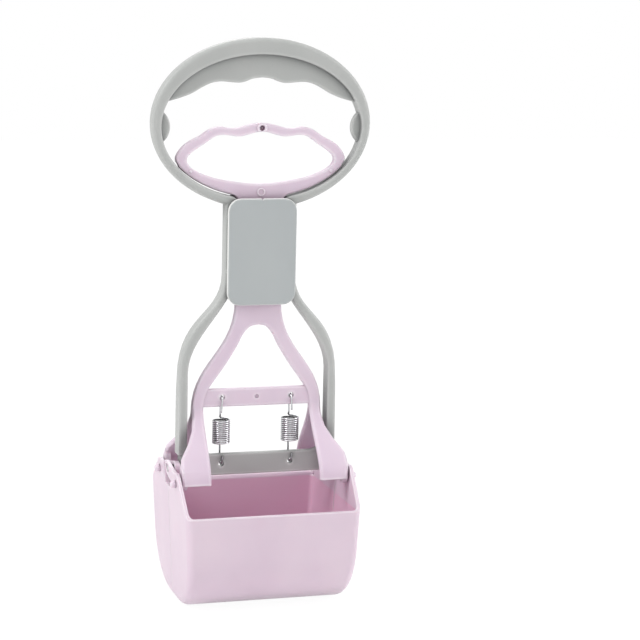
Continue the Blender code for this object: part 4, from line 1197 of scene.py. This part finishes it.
@dataclass
class Studio:
    """The plain pale floor, the white surround and the soft lamps."""

    floor_size: float = 6.0
    floor_glow: float = 0.95
    floor_shade: float = 0.10
    paper_dark: Colour = (250, 250, 250)
    paper_light: Colour = (254, 254, 254)
    paper_places: Pair = (0.3, 0.7)
    paper_grain: Noise = Noise(scale=900.0, detail=2.0, rough=0.5)
    paper_roughness: float = 0.9
    paper_specular: float = 0.1
    surround: float = 0.38
    background: float = 1.0
    lamps: tuple[Lamp, ...] = (
        Lamp("key_lamp", place=(-3.00, -0.60, 3.00), width=1.60, power=92.0),
        Lamp("top_lamp", place=(-0.10, -0.20, 3.20), width=2.00, power=19.0),
        Lamp("front_lamp", place=(-0.60, -3.00, 0.80), width=1.60, power=6.0),
        Lamp("right_lamp", place=(3.00, -0.90, 1.20), width=1.60, power=46.0),
        Lamp("back_lamp", place=(0.60, 3.00, 2.50), width=1.60, power=30.0),
    )
    aim: Triple = (0.0, 0.0, 0.13)

    @staticmethod
    def seen_rays(tree: NodeTree) -> Socket:
        """Tell rays of the camera, of gloss and of glass from rays of light.

        Args:
            tree: The nodes of the floor or of the surround.

        Returns:
            The output that is 1 for a ray that shows the background.
        """
        path = tree.add("ShaderNodeLightPath", "kind of ray")
        shown = path.outputs["Is Camera Ray"]
        for ray in ("Is Glossy Ray", "Is Transmission Ray"):
            either = tree.add("ShaderNodeMath", "one kind or the other")
            either.operation = "MAXIMUM"
            tree.link(shown, either, 0)
            tree.link(path.outputs[ray], either, 1)
            shown = either.outputs["Value"]
        return shown

    def lit_paper(self, tree: NodeTree) -> Socket:
        """Make the paper that throws the lamps' light back at the object.

        Args:
            tree: The floor's nodes.

        Returns:
            The output with the shader.
        """
        shader = tree.add("ShaderNodeBsdfPrincipled", "paper")
        shader.inputs["Roughness"].default_value = self.paper_roughness
        shader.inputs["Specular IOR Level"].default_value = self.paper_specular
        grain = tree.noise("paper grain", self.paper_grain)
        colour = tree.ramp("paper colour", grain, self.paper_places, (self.paper_dark, self.paper_light))
        tree.link(colour, shader, "Base Color")
        return shader.outputs["BSDF"]

    def white_floor(self, tree: NodeTree) -> Socket:
        """Make the white that the floor shows, with the object's soft shadow on it.

        Args:
            tree: The floor's nodes.

        Returns:
            The output with the shader.
        """
        glow = tree.add("ShaderNodeEmission", "white")
        glow.inputs["Strength"].default_value = self.floor_glow
        shade = tree.add("ShaderNodeBsdfDiffuse", "soft shadow on the white")
        shade.inputs["Color"].default_value = (self.floor_shade, self.floor_shade, self.floor_shade, 1.0)
        white = tree.add("ShaderNodeAddShader", "white floor with its shadow")
        tree.link(shade.outputs["BSDF"], white, 0)
        tree.link(glow.outputs["Emission"], white, 1)
        return white.outputs["Shader"]

    def add_floor(self) -> None:
        """Lay the floor, which shows white and keeps a soft contact shadow."""
        Bench.clear()
        bpy.ops.mesh.primitive_plane_add(size=self.floor_size, location=(0.0, 0.0, 0.0))
        floor = bpy.context.view_layer.objects.active
        floor.name = "studio_floor"
        material = bpy.data.materials.new("floor_white")
        tree = NodeTree(material)
        tree.finish(tree.mix_shaders("lit paper or white floor", self.seen_rays(tree),
                                     self.lit_paper(tree), self.white_floor(tree)))
        floor.data.materials.append(material)

    @staticmethod
    def even_light(tree: NodeTree, label: str, strength: float) -> Socket:
        """Make even white light from all around.

        Args:
            tree: The surround's nodes.
            label: What the light is for.
            strength: How strong it is, where 1 shows as white.

        Returns:
            The output with the light.
        """
        light = tree.add("ShaderNodeBackground", label)
        light.inputs["Color"].default_value = linear(WHITE)
        light.inputs["Strength"].default_value = strength
        return light.outputs["Background"]

    def add_surround(self) -> None:
        """Surround the scene with even light that shows white behind the object."""
        world = bpy.data.worlds.new("white_surround")
        bpy.context.scene.world = world
        tree = NodeTree(world)
        light = self.even_light(tree, "light on the object", self.surround)
        white = self.even_light(tree, "white behind the object", self.background)
        whole = tree.mix_shaders("light or white", self.seen_rays(tree), light, white)
        tree.link(whole, tree.add("ShaderNodeOutputWorld", "surround"), "Surface")

    def add_lamps(self) -> None:
        """Hang the soft lamps around the object."""
        for lamp in self.lamps:
            data = bpy.data.lights.new(lamp.name, "AREA")
            data.shape = "SQUARE"
            data.size = lamp.width
            data.energy = lamp.power
            item = bpy.data.objects.new(lamp.name, data)
            bpy.context.scene.collection.objects.link(item)
            item.location = lamp.place
            way = Vector(self.aim) - Vector(lamp.place)
            item.rotation_euler = way.to_track_quat("-Z", "Y").to_euler()

    def build(self) -> None:
        """Set up the whole studio."""
        self.add_floor()
        self.add_surround()
        self.add_lamps()
        bpy.context.scene.view_settings.view_transform = "Standard"
        LOG.info("studio is set up")


@dataclass
class PhotoCamera:
    """The camera at the photograph's viewing angle.

    The turn, lift and roll are in degrees. The frame, focal length and optical centre are in
    pixels of the picture, and the sensor's width is in millimetres.
    """

    target: Triple = (0.0, 0.0, 0.1443)
    distance: float = 0.9692
    turn: float = -15.9
    lift: float = 9.27
    roll: float = 1.08
    sensor: float = 36.0
    frame: float = 640.0
    focal: float = 1946.0
    centre: Pair = (257.67, 312.25)

    def build(self) -> None:
        """Make the camera and use it."""
        turn = math.radians(self.turn)
        lift = math.radians(self.lift)
        away = Vector((math.sin(turn) * math.cos(lift), -math.cos(turn) * math.cos(lift), math.sin(lift)))
        place = Vector(self.target) + away * self.distance
        data = bpy.data.cameras.new("photo_camera")
        data.sensor_width = self.sensor
        data.lens = self.focal * self.sensor / self.frame
        data.shift_x = (self.frame / 2.0 - self.centre[0]) / self.frame
        data.shift_y = (self.centre[1] - self.frame / 2.0) / self.frame
        camera = bpy.data.objects.new("photo_camera", data)
        bpy.context.scene.collection.objects.link(camera)
        aim = (-away).to_track_quat("-Z", "Y").to_matrix().to_4x4()
        roll = Matrix.Rotation(math.radians(self.roll), 4, "Z")
        camera.matrix_world = Matrix.Translation(place) @ aim @ roll
        bpy.context.scene.camera = camera
        LOG.info("camera is set")


def main() -> None:
    """Build the scene in order."""
    logging.basicConfig(level=logging.INFO, format="%(message)s")
    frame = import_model()
    Bench.clear()
    palette = Palette()
    solids = Solids(frame["nodes"], palette)
    PhotoCamera().build()
    Studio().build()
    HandleFrame().build(solids)
    TriggerSlider().build(solids)
    Jaws().build(solids)
    RimCorners().build(palette)
    WoundSprings().build(palette)
    CoverScrews().build(palette)
    Bench.clear()


if __name__ == "__main__":
    main()
